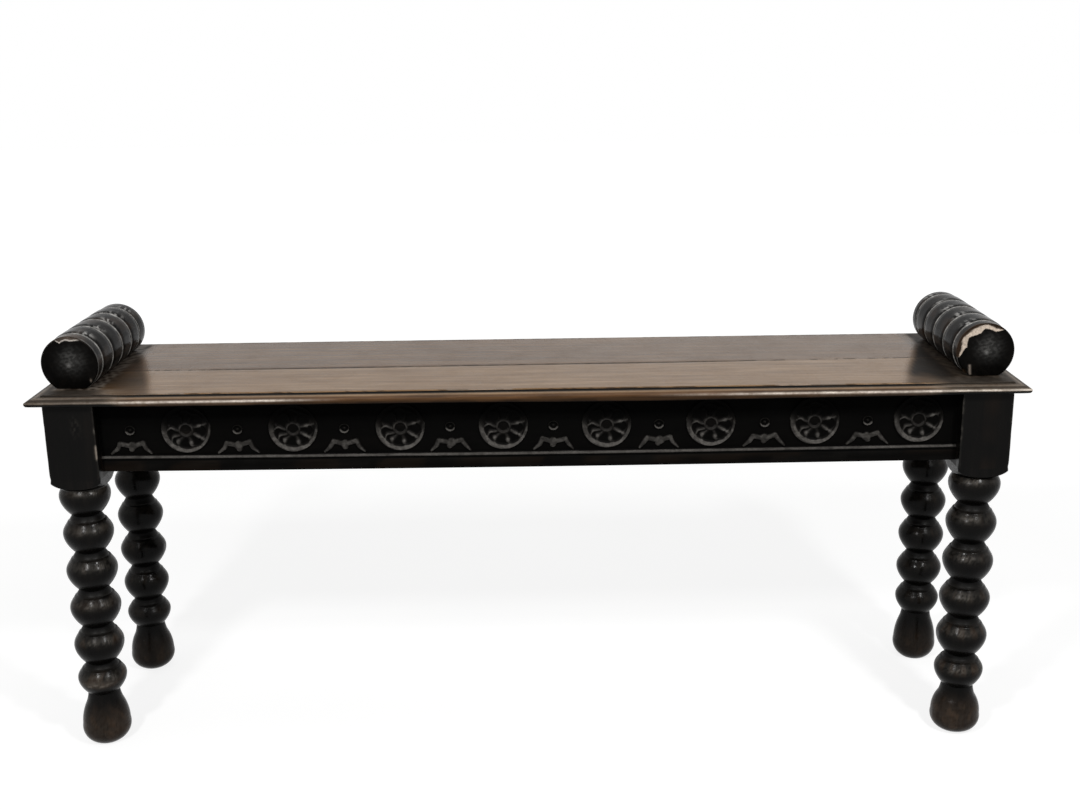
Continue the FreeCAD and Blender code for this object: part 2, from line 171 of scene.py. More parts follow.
@dataclass
class Patch:
    """A grid of points in mm, row by row, with mask values at each point: wear and painted highlights,
    breaks, grime and painted shade, brown tint.
    """

    points: Array
    masks: dict[str, Array] = field(default_factory=dict)
    closed: bool = False

    def faces(self) -> Array:
        """Joins neighbouring rows and columns by four-cornered faces, closed round if asked.

        Returns:
            (faces, 4) numbers of points, counted row by row.
        """
        rows, columns = self.points.shape[:2]
        index = np.arange(rows * columns).reshape(rows, columns)
        if self.closed:
            index = np.concatenate([index, index[:, :1]], 1)
        corners = (index[:-1, :-1], index[:-1, 1:], index[1:, 1:], index[1:, :-1])
        return np.stack(corners, -1).reshape(-1, 4)


class Piece:
    """One wooden piece: patches that are welded into one skin and dressed."""

    # The wear mask also holds painted highlights, and the grime mask painted shade.
    MASKS = ("wear_and_highlight", "raw", "grime_and_shade", "warm")
    WELD = 0.01

    def __init__(self, name: str, slot: str, nodes: tuple[str, ...]) -> None:
        """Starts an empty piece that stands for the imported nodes."""
        self.name, self.slot, self.nodes = name, slot, nodes
        self.patches: list[Patch] = []

    def add(self, *parts: Patch) -> "Piece":
        """Adds patches and returns the piece."""
        self.patches.extend(parts)
        return self

    def finish(self, material: bpy.types.Material, crease: float = 38.0) -> None:
        """Welds the patches, turns the faces outwards, hangs the piece under the bench's body empty and
        hides the imported nodes it stands for.

        Points closer than WELD, in mm, are merged, which joins patches along their seams. Edges
        sharper than the crease angle stay sharp, and the masks are held between 0 and 1.

        Args:
            material: the piece's finish.
            crease: angle in degrees above which an edge is sharp.
        """
        points = np.concatenate([p.points.reshape(-1, 3) for p in self.patches]) * MM
        starts = np.cumsum([0] + [p.points.shape[0] * p.points.shape[1] for p in self.patches])
        faces = np.concatenate([p.faces() + s for p, s in zip(self.patches, starts)])
        mesh = bpy.data.meshes.new(self.name)
        mesh.from_pydata(points, [], faces.tolist())
        for mask in self.MASKS:
            values = [np.broadcast_to(p.masks.get(mask, 0.0), p.points.shape[:2]).ravel()
                      for p in self.patches]
            layer = mesh.attributes.new(mask, "FLOAT", "POINT")
            held = np.clip(np.concatenate(values), 0.0, 1.0)
            layer.data.foreach_set("value", held.astype(np.float32))
        skin = bmesh.new()
        skin.from_mesh(mesh)
        bmesh.ops.remove_doubles(skin, verts=skin.verts, dist=self.WELD * MM)
        bmesh.ops.recalc_face_normals(skin, faces=skin.faces)
        skin.to_mesh(mesh)
        skin.free()
        mesh.shade_smooth()
        mesh.set_sharp_from_angle(angle=math.radians(crease))
        mesh.materials.append(material)
        piece = stand(self.name, mesh)
        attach(piece, BODY)
        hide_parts(*self.nodes)
        LOG.info("%s: %d faces", self.name, len(mesh.polygons))


def revolved(axes: tuple[Array, ...], around: Array, along: Array, out: Array) -> Array:
    """Points at a distance out from an axis: origin + along on the axis + out times the unit circle.

    Args:
        axes: the circle's two directions, the direction of the axis, and the origin.
        around: angles, one per column.
        along: places on the axis, (rows, columns) or (rows, 1).
        out: distances from the axis, (rows, columns).
    Returns:
        (rows, columns, 3) points.
    """
    first, second, axis, origin = axes
    circle = np.cos(around)[..., None] * first + np.sin(around)[..., None] * second
    along = np.broadcast_to(along, out.shape)
    return origin + along[..., None] * axis + out[..., None] * circle


# Finishes

class Grain(Enum):
    """The way the grain runs, as the stretch of a pattern along x, y and z."""

    LENGTHWAYS = (0.07, 1.0, 1.0)
    FRONT_TO_BACK = (1.0, 0.07, 1.0)
    UPRIGHT = (1.0, 1.0, 0.07)


class Graph:
    """The nodes of a material or a world, added and joined in one call each."""

    def __init__(self, owner: Union[bpy.types.Material, bpy.types.World]) -> None:
        """Empties the owner's nodes, to be built anew.

        Args:
            owner: the material or world.
        """
        self.owner = owner
        self.owner.use_nodes = True
        self.tree = self.owner.node_tree
        self.tree.nodes.clear()
        self.place = self.add("ShaderNodeTexCoord").outputs["Object"]

    def add(self, kind: str, inputs: Optional[dict] = None, **settings: object) -> bpy.types.Node:
        """Adds a node, sets its properties, and sets or links its inputs.

        Args:
            kind: Blender's name of the node type.
            inputs: input name or number to a socket, which is linked, or to a value.
            settings: the node's own properties.
        Returns:
            The node.
        """
        node = self.tree.nodes.new(kind)
        for name, value in settings.items():
            setattr(node, name, value)
        for name, value in (inputs or {}).items():
            if isinstance(value, Socket):
                self.tree.links.new(value, node.inputs[name])
            else:
                node.inputs[name].default_value = value
        return node

    def noise(self, scale: float, stretch: tuple[float, float, float] = (1.0, 1.0, 1.0),
              detail: float = 4.0, rough: float = 0.55, warp: float = 0.0,
              shift: float = 0.0) -> Socket:
        """Cloudy noise on the object's own coordinates, stretched by axis.

        Args:
            scale: lumps a metre.
            stretch: factor of each axis, under 1 for long streaks.
            detail: number of finer layers.
            rough: strength of the finer layers.
            warp: how far the pattern is distorted.
            shift: where the pattern starts, so that two patterns differ.
        Returns:
            The noise, 0 to 1.
        """
        where = self.add("ShaderNodeMapping", {"Vector": self.place, "Scale": stretch,
                                               "Location": (shift, shift * 0.7, shift * 1.3)})
        return self.add("ShaderNodeTexNoise", {"Vector": where.outputs[0], "Scale": scale,
                                               "Detail": detail, "Roughness": rough,
                                               "Distortion": warp}).outputs[0]

    def span(self, value: Value, low: float, high: float, to_low: float = 0.0,
             to_high: float = 1.0) -> Socket:
        """Stretches low..high to to_low..to_high and holds it there."""
        return self.add("ShaderNodeMapRange", {"Value": value, "From Min": low, "From Max": high,
                                               "To Min": to_low, "To Max": to_high}).outputs[0]

    def step(self, kind: str, first: Value, second: Value) -> Socket:
        """One arithmetic step, held between 0 and 1."""
        return self.add("ShaderNodeMath", {0: first, 1: second}, operation=kind,
                        use_clamp=True).outputs[0]

    def mask(self, name: str) -> Socket:
        """A mask of the piece's own, such as wear and painted highlights or grime and painted shade, 0 where
        it has none.
        """
        return self.add("ShaderNodeAttribute", attribute_name=name).outputs["Fac"]

    def blend(self, amount: Value, first: Value, second: Value) -> Socket:
        """Mixes two colours.

        Args:
            amount: 0 for the first colour, 1 for the second.
            first: a colour, or the socket of one.
            second: a colour, or the socket of one.
        Returns:
            The mixed colour.
        """
        first, second = (colour if isinstance(colour, Socket) else (*colour, 1.0)
                         for colour in (first, second))
        return self.add("ShaderNodeMix", {0: amount, 6: first, 7: second}, data_type="RGBA").outputs[2]

    def surface(self, shader: dict, height: Socket, depth: float) -> bpy.types.Material:
        """Ends the material with a bumped surface shader.

        Args:
            shader: inputs of the surface shader.
            height: the relief, 0 to 1.
            depth: what a step from 0 to 1 stands for, in metres.
        Returns:
            The material.
        """
        relief = self.add("ShaderNodeBump", {"Height": height, "Distance": depth, "Strength": 1.0})
        body = self.add("ShaderNodeBsdfPrincipled", {**shader, "Normal": relief.outputs[0]})
        self.add("ShaderNodeOutputMaterial", {"Surface": body.outputs[0]})
        return self.owner


@dataclass(frozen=True)
class AgedOak:
    """Old waxed oak: streaked figure, dark pores, mottled polish, rubbed places and painted highlights, dirt
    and painted shade, fresh breaks.
    """

    name: str
    grain: Grain
    deep: Colour
    body: Colour
    pale: Colour
    rubbed_and_highlit: Colour
    warm: Colour = (0.050, 0.030, 0.018)
    broken: Colour = (0.60, 0.50, 0.41)
    pore: Colour = (0.006, 0.005, 0.004)
    dirt_and_shade: Colour = (0.0015, 0.0014, 0.0013)
    figure_scale: float = 90.0
    gloss: tuple[float, float] = (0.28, 0.5)
    dent_depth: float = 0.0004
    pore_strength: float = 0.6
    mottling: float = 0.75
    index: float = 1.15

    def material(self) -> bpy.types.Material:
        """Builds the finish: figure from stretched noise, pores from finer noise, wear, painted light and
        painted shade from the masks.

        The wood's colour is laid on in turn: figure between deep and body, pale streaks, dark
        mottling, brown where the warm mask says so, rubbed places and painted highlights, pores,
        dirt and painted shade, and last the torn wood of breaks. Rubbed places and painted
        highlights show 0.45 to 1 of their mask, as a noise decides.

        Returns:
            The material.
        """
        g = Graph(bpy.data.materials.new(self.name))
        stretch = self.grain.value
        figure = g.noise(self.figure_scale, stretch, 5.0, 0.6, 0.35)
        pores = g.span(g.noise(self.figure_scale * 9.0, stretch, 3.0, 0.6, shift=3.1), 0.56, 0.72)
        mottle = g.noise(26.0, detail=5.0, rough=0.62, shift=7.7)
        cloud = g.noise(7.0, detail=3.0, shift=1.9)
        wood = g.blend(g.span(figure, 0.33, 0.68), self.deep, self.body)
        streaks = g.step("MULTIPLY", g.span(figure, 0.55, 0.8), g.span(cloud, 0.4, 0.65))
        wood = g.blend(streaks, wood, self.pale)
        wood = g.blend(g.span(mottle, 0.48, 0.75, 0.0, self.mottling), wood, self.deep)
        dull, bright = (tuple(part * share for part in self.warm) for share in (0.6, 1.3))
        wood = g.blend(g.mask("warm"), wood, g.blend(g.span(figure, 0.35, 0.7), dull, bright))
        rub_break = g.span(g.noise(160.0, detail=4.0, rough=0.7, shift=5.3), 0.3, 0.62)
        # The wear mask lays rubbed places and painted highlights in the rubbed colour.
        rub_and_highlight = g.step("MULTIPLY", g.mask("wear_and_highlight"), g.span(rub_break, 0.0, 1.0, 0.45, 1.0))
        wood = g.blend(rub_and_highlight, wood, self.rubbed_and_highlit)
        wood = g.blend(g.step("MULTIPLY", pores, self.pore_strength), wood, self.pore)
        # The grime mask lays dirt and painted shade in the dirt colour.
        wood = g.blend(g.mask("grime_and_shade"), wood, self.dirt_and_shade)
        splinter = g.noise(420.0, stretch, 4.0, 0.7, shift=9.0)
        shade = tuple(part * 0.6 for part in self.broken)
        torn = g.blend(g.span(splinter, 0.35, 0.65), shade, self.broken)
        raw = g.mask("raw")
        wood = g.blend(raw, wood, torn)
        rough = g.span(mottle, 0.3, 0.7, self.gloss[0], self.gloss[1])
        rough = g.step("ADD", rough, g.step("MULTIPLY", g.step("ADD", raw, g.mask("grime_and_shade")), 0.35))
        dents = g.noise(110.0, detail=2.0, shift=2.2)
        height = g.step("SUBTRACT", g.step("MULTIPLY", dents, 0.55), g.step("MULTIPLY", pores, 0.3))
        height = g.step("ADD", height, g.step("MULTIPLY", g.step("MULTIPLY", splinter, raw), 0.8))
        shader = {"Base Color": wood, "Roughness": rough, "IOR": self.index}
        return g.surface(shader, height, self.dent_depth)


@dataclass(frozen=True)
class DarkIron:
    """Dull hand-cut nail iron with rust bloom."""

    name: str = "nail_iron"
    metal: Colour = (0.09, 0.08, 0.075)
    rust: Colour = (0.10, 0.035, 0.015)
    bloom: float = 0.0001

    def material(self) -> bpy.types.Material:
        """Builds the finish: spots of rust, raised by the bloom's height in metres, over dark metal.

        Returns:
            The material.
        """
        g = Graph(bpy.data.materials.new(self.name))
        spots = g.span(g.noise(600.0, detail=4.0, rough=0.7), 0.45, 0.62)
        tone = g.blend(spots, self.metal, self.rust)
        shader = {"Base Color": tone, "Roughness": g.span(spots, 0.0, 1.0, 0.45, 0.9),
                  "Metallic": g.span(spots, 0.0, 1.0, 0.9, 0.1)}
        return g.surface(shader, spots, self.bloom)


class Finishes:
    """Every finish of the bench, built once."""

    def __init__(self) -> None:
        """Builds the dark oak of the frame, the seat's oak, the hidden bare wood and the iron."""
        rail = AgedOak("rail_oak", Grain.LENGTHWAYS, deep=(0.0012, 0.0011, 0.0010),
                       body=(0.0040, 0.0034, 0.0029), pale=(0.0095, 0.0072, 0.0058),
                       rubbed_and_highlit=(0.060, 0.050, 0.041), gloss=(0.14, 0.26))
        self.rail = rail.material()
        self.end_rail = replace(rail, name="end_rail_oak", grain=Grain.FRONT_TO_BACK).material()
        # The legs' rubbed colour also paints the broad highlights on their shoulders.
        self.leg = replace(rail, name="leg_oak", grain=Grain.UPRIGHT, rubbed_and_highlit=(0.115, 0.103, 0.089),
                           gloss=(0.13, 0.31), dent_depth=0.00025, index=1.16).material()
        # The carving's rubbed colour also paints light on its upward ledges and lower rims.
        self.carving = replace(rail, name="carved_oak", rubbed_and_highlit=(0.105, 0.098, 0.090),
                               gloss=(0.34, 0.5), index=1.09).material()
        # The roll's pale rubbed colour is mostly painted highlight on its lips, crowns and disc.
        self.roll = replace(rail, name="roll_oak", grain=Grain.FRONT_TO_BACK, rubbed_and_highlit=(0.50, 0.49, 0.47),
                            gloss=(0.11, 0.22), dent_depth=0.00025, index=1.08).material()
        # The seat's near-white rubbed colour is mostly the painted highlight along the nose's arris.
        seat = AgedOak("seat_front_oak", Grain.LENGTHWAYS, deep=(0.130, 0.070, 0.028),
                       body=(0.225, 0.136, 0.065), pale=(0.300, 0.200, 0.112),
                       rubbed_and_highlit=(0.88, 0.79, 0.69), warm=(0.105, 0.052, 0.022), figure_scale=120.0,
                       gloss=(0.17, 0.27), dent_depth=0.00015, pore_strength=0.3, mottling=0.35,
                       index=1.17)
        self.seat_front = seat.material()
        self.seat_back = replace(seat, name="seat_back_oak", deep=(0.076, 0.040, 0.018),
                                 body=(0.138, 0.076, 0.033), pale=(0.200, 0.122, 0.062)).material()
        bare = AgedOak("bare_wood", Grain.LENGTHWAYS, deep=(0.16, 0.095, 0.05),
                       body=(0.28, 0.18, 0.10), pale=(0.38, 0.26, 0.16), rubbed_and_highlit=(0.4, 0.3, 0.2),
                       gloss=(0.6, 0.85))
        self.bare = bare.material()
        self.bare_end = replace(bare, name="bare_wood_end", grain=Grain.FRONT_TO_BACK).material()
        self.iron = DarkIron().material()


# Legs

@dataclass(frozen=True)
class Turning:
    """What sets one hand-turned leg apart.

    These are its node and place, a seed for its unevenness, the greatest radius of its foot,
    how far it leans in at the floor, the heights of its necks, and the sides of its shoulders
    that get painted highlights, as turns round the leg.
    """

    node: str
    x: float
    y: float
    seed: int
    foot_swell: float
    lean: float
    necks: tuple[float, ...]
    sheen_turns: tuple[float, ...] = ()


@dataclass
class TurnedLegs:
    """Four bobbin turned legs with square blocks at the top."""

    half_block: float = 30.0
    block_bottom: float = 344.0
    top_ball_end: float = 343.2
    shoulder_top: float = 356.0
    top: float = 450.0
    neck: float = 17.6
    foot_neck: float = 19.2
    bobbin: float = 30.8
    pitch: float = 49.0
    shoulder: float = 43.27
    clear: float = 60.0
    line_share: float = 0.155
    line_depth: float = 1.0
    line_step: float = 0.55
    arris: float = 1.3
    arris_waver: float = 0.7
    arris_opening: float = 2.2
    out_of_round: float = 0.004
    facets: int = 92
    spread: tuple[float, ...] = (-0.055, -0.035, -0.018, 0.0, 0.018, 0.035, 0.055)
    legs: tuple[Turning, ...] = (
        Turning("leg_front_left", -543.5, -98.0, 11, 29.4, 3.6, (68.5, 109.0, 159.3, 208.5, 258.1, 306.5),
                (0.758, 0.862)),
        Turning("leg_front_right", 543.5, -98.0, 12, 30.0, 4.4, (62.3, 104.5, 155.5, 204.3, 254.7, 305.2),
                (0.665, 0.720)),
        Turning("leg_back_left", -543.5, 112.0, 13, 29.2, 1.8, (65.0, 104.9, 154.9, 204.3, 254.8, 305.0)),
        Turning("leg_back_right", 543.5, 112.0, 14, 28.6, 1.5, (69.5, 111.2, 159.4, 209.1, 258.5, 307.5)))

    def outline(self, leg: Turning) -> Array:
        """Radius and height up one leg: foot, six bobbins and the shoulder under the block.

        The foot is three arcs. Each bobbin is partly an arc between its necks and partly the
        square of a sine, which makes its shoulders straighter, the upper one most. A line is cut
        near the top of each bobbin, and the wood above the line is a step smaller. Up the block
        the radius is clear of the square's corners, so that the square alone counts there.

        Args:
            leg: the leg's own neck heights and swells.
        Returns:
            (rows, 2) radius and height.
        """
        neck, swell = leg.necks[0], leg.foot_swell
        belly, waist = (swell, 0.37 * neck), (22.7, neck - 15.0)
        parts = [np.array([(0.0, 0.0), (12.0, 0.0), (17.6, 0.25)]),
                 arc((18.5, 0.9), (swell - 2.6, 0.13 * neck), belly, 12),
                 arc(belly, (swell - 1.5, 0.56 * neck), waist, 9)[1:],
                 arc(waist, (20.2, neck - 7.0), (self.foot_neck, neck), 7)[1:]]
        rng = np.random.default_rng(leg.seed)
        for low, high in zip(leg.necks, (*leg.necks[1:], leg.necks[-1] + self.pitch)):
            first = self.foot_neck if low == neck else self.neck
            radius = self.bobbin - rng.uniform(0.0, 0.7) - (0.9 if low == neck else 0.0)
            middle = (low + high) / 2.0 + rng.uniform(-0.8, 0.8)
            ball = arc((first, low), (radius, middle), (self.neck, high), 23)
            part = (ball[:, 1] - low) / (high - low)
            wave = np.minimum(first + (self.neck - first) * part, self.bobbin)
            wave = wave + (radius - wave) * np.sin(math.pi * part) ** 2
            ball[:, 0] += (0.22 + 0.36 * smooth(part, 0.35, 0.75)) * (wave - ball[:, 0])
            line_at = high - (high - low) * self.line_share
            close = line_at + np.array([-1.5, -0.8, -0.35, 0.0, 0.35, 0.8, 1.6])
            heights = np.sort(np.concatenate([ball[1:, 1], close]))
            radii = np.interp(heights, ball[:, 1], ball[:, 0])
            radii -= self.line_depth * bell(heights, line_at, 0.75)
            smaller = smooth(heights, line_at - 0.2, line_at + 0.6) * (heights < high - 0.2)
            radii -= self.line_step * smaller
            radii += 0.3 * bell(heights, line_at - 1.4, 0.7)
            shown = heights < self.top_ball_end
            parts.append(np.stack([radii[shown], heights[shown]], -1))
        end, bottom = self.top_ball_end, self.block_bottom
        parts.append(np.array([(27.6, end), (25.7, bottom - 0.15), (25.5, bottom + 0.1)]))
        widest = (self.shoulder, self.shoulder_top)
        shoulder = arc((27.8, bottom + 0.8), (37.4, bottom + 5.0), widest, 16)
        heights = np.linspace(self.shoulder_top + 1.5, self.top - 0.6, 48)
        block = np.stack([np.full_like(heights, self.clear), heights], -1)
        parts += [shoulder, block, np.array([(29.6, self.top), (0.0, self.top)])]
        return np.concatenate(parts)

    def square(self, around: Array, corner: Array) -> Array:
        """Distance from the axis to a square with rounded corners.

        With p the angle from the nearest face's middle and h half the side, it is h / cos p on
        the flat, and on the corner, of radius c, it is (h - c)(cos p + sin p) + the root of
        c^2 - (h - c)^2 (cos p - sin p)^2.

        Args:
            around: angles round the leg.
            corner: corner radius at each point.
        Returns:
            The distances.
        """
        p = np.abs((around + TAU / 8) % (TAU / 4) - TAU / 8)
        inner = self.half_block - corner
        flat = self.half_block / np.cos(p)
        under = np.maximum(corner ** 2 - (inner * (np.cos(p) - np.sin(p))) ** 2, 0.0)
        turned = inner * (np.cos(p) + np.sin(p)) + np.sqrt(under)
        return np.where(self.half_block * np.tan(p) <= inner, flat, turned)

    def block_rows(self, height: Array) -> Array:
        """Whether each height lies in the square block."""
        return (height > self.shoulder_top + 0.5) & (height < self.top - 0.3)

    def build_leg(self, leg: Turning, material: bpy.types.Material) -> None:
        """Builds one leg as the smaller of its turned outline and its square block, round its axis.

        Points lie closer together near the block's corners. The corner radius wavers up the
        block and opens at the shoulder, and the turned part leans in evenly towards the floor.

        Args:
            leg: the leg.
            material: its finish.
        """
        outline = self.outline(leg)
        radius, height = outline[:, :1], outline[:, 1:2]
        near = np.concatenate([CORNERS + step for step in self.spread])
        even = np.linspace(0, TAU, self.facets, endpoint=False)
        around = np.unique(np.round(np.concatenate([even, near % TAU]), 6))
        corner = self.arris + self.arris_waver * np.abs(waver(height, leg.seed, 90.0))
        corner = corner + self.arris_opening * bell(height, self.shoulder_top + 2.0, 3.0)
        square = self.square(around[None, :], corner)
        in_block = self.block_rows(height)
        turned = radius * (1.0 + self.out_of_round * waver(around, leg.seed + 5, TAU)[None, :])
        out = np.where(in_block, square, np.minimum(turned, square))
        out[0] = out[-1] = 0.0
        axes = (np.array([1.0, 0, 0]), np.array([0, 1.0, 0]), np.array([0, 0, 1.0]),
                np.array([leg.x, leg.y, 0.0]))
        points = revolved(axes, around, height, out)
        points[..., 0] -= leg.lean * np.clip(1.0 - height / self.block_bottom, 0.0, 1.0)
        masks = self.masks(leg, around, radius, height, square)
        if leg.node == "leg_front_left":
            self.left_marks(masks, around, height, in_block)
        if leg.node == "leg_front_right":
            stain = smooth(np.cos(around - TAU * 0.77), 0.93, 0.99)[None, :] * in_block
            masks["warm"] = masks["warm"] + 0.22 * stain * (0.5 + 0.5 * waver(height, 91, 160.0))
        Piece("turned_" + leg.node, "dark_oak", (leg.node,)).add(
            Patch(points, masks, closed=True)).finish(material)

    def masks(self, leg: Turning, around: Array, radius: Array, height: Array,
              square: Array) -> dict[str, Array]:
        """Wear of one leg, with painted light: shoulders and foot rubbed pale or brown, necks and block
        dark.

        A shoulder is a bell curve of the drop below the next neck, broken up by spots, and its pale
        band is partly a painted broad highlight. The front legs' shoulders get painted highlights.
        The necks, where the radius is small, and the block away from its worn arrises are
        darkened. The block's sides that face each other under the seat get painted shade, less on
        the left leg. The back legs are rubbed less.

        Args:
            leg: the leg.
            around: angles round it.
            radius: its turned radius, row by row.
            height: its rows' heights.
            square: the distance from the axis to its block.
        Returns:
            The wear and highlight, grime and shade, and warm masks.
        """
        in_front = leg.y < 0.0
        rank = 1.0 if in_front else 0.4
        in_block = self.block_rows(height)
        on_bobbin = (height > leg.necks[0]) * (height < self.block_bottom)
        necks = np.array([*leg.necks, leg.necks[-1] + self.pitch])
        below = np.where(necks < height, np.inf, necks - height).min(-1, keepdims=True)
        # The shoulder band is partly wear and partly a painted broad highlight.
        shoulder = bell(below, 14.5, 5.6) * on_bobbin
        collar = smooth(below, 7.6, 6.6) * smooth(below, 0.5, 2.0) * on_bobbin
        foot = smooth(height, 62.0, 22.0)
        arris = in_block * bell(square - self.half_block * 1.4, 0.0, 0.9)
        spots = patches(around[None, :] * 2.0, height / 16.0, leg.seed)
        mottle = np.maximum(patches(around * 4.4, height / 7.0, leg.seed + 30, -0.1),
                            patches(around * 4.4, height / 7.0, leg.seed + 31, -0.1))
        wear_and_highlight = rank * (shoulder * (0.06 + 0.17 * mottle) + 0.09 * collar + foot * (0.045 + 0.10 * mottle))
        # Painted highlights on the front legs' shoulders, at set turns round the leg.
        painted_sheen = sum(bell(around, TAU * turn, 0.2) for turn in leg.sheen_turns) * bell(below, 15.5, 3.4)
        broken_up = patches(around * 12.0, height / 3.5, leg.seed + 50, -0.3)
        wear_and_highlight = wear_and_highlight + 0.6 * painted_sheen * on_bobbin * broken_up
        wear_and_highlight = np.clip(wear_and_highlight + arris * (0.1 + 0.35 * spots), 0.0, 1.0)
        brown = 0.10 + 0.42 * smooth(height, 230.0, 110.0) * in_front
        brown = brown * shoulder * patches(around * 3.0, height / 30.0, leg.seed + 40, 0.0)
        inner = smooth(-np.sign(leg.x) * np.cos(around), 0.75, 0.9)[None, :] * in_block * in_front
        warm = rank * foot * (0.5 + 0.4 * spots) + brown + 0.25 * inner * smooth(height, 395.0, 372.0)
        dark_necks = (1.0 - smooth(radius, 18.3, 21.5)) * (height > 40.0) * 0.9
        grime_and_shade = np.maximum(dark_necks, 0.45 * collar)
        # Painted shade on the block's inner faces under the seat, lighter on the left leg.
        grime_and_shade = np.maximum(grime_and_shade, inner * (0.55 if leg.x < 0.0 else 0.95))
        grime_and_shade = np.maximum(grime_and_shade, 0.5 * in_block * (1.0 - arris) * (1.0 - inner))
        return {"wear_and_highlight": wear_and_highlight, "grime_and_shade": grime_and_shade, "warm": warm}

    def left_marks(self, masks: dict[str, Array], around: Array, height: Array,
                   in_block: Array) -> None:
        """Adds the front left leg's own marks: a chipped belt, a scratch and a worn arris.

        Each is a product of bell curves or smooth steps in height and angle, and spots.

        Args:
            masks: the leg's masks, which it changes.
            around: angles round the leg.
            height: its rows' heights.
            in_block: whether a row lies in the square block.
        """
        belt = bell(height, 86.5, 4.4) * bell((around - TAU * 0.75)[None, :], 0.05, 0.75)
        chips = patches(around[None, :] * 7.0, height / 3.0, 77, 0.45)
        scratch = bell(around, TAU * 0.787, 0.14) * patches(around * 26.0, height / 9.0, 88, 0.0)
        scratch = scratch * bell(height, 424.0, 10.0) * in_block
        edge = bell((around - CORNERS[3])[None, :], -0.012, 0.022) * in_block
        streak = smooth(height, 382.0, 385.0) * smooth(height, 402.0, 399.0)
        wear_and_highlight = np.clip(masks["wear_and_highlight"] + belt * 0.6, 0.0, 1.0) + 0.4 * scratch
        masks["wear_and_highlight"] = wear_and_highlight + edge * (0.8 * bell(height, 419.0, 3.0) + streak)
        masks["raw"] = 0.3 * belt * chips * bell(height, 84.5, 3.6) + 0.45 * edge * streak
        masks["warm"] = masks["warm"] + belt * (1.0 - chips)

    def build(self, finishes: Finishes) -> None:
        """Builds the four legs."""
        for leg in self.legs:
            self.build_leg(leg, finishes.leg)


# Carved rail

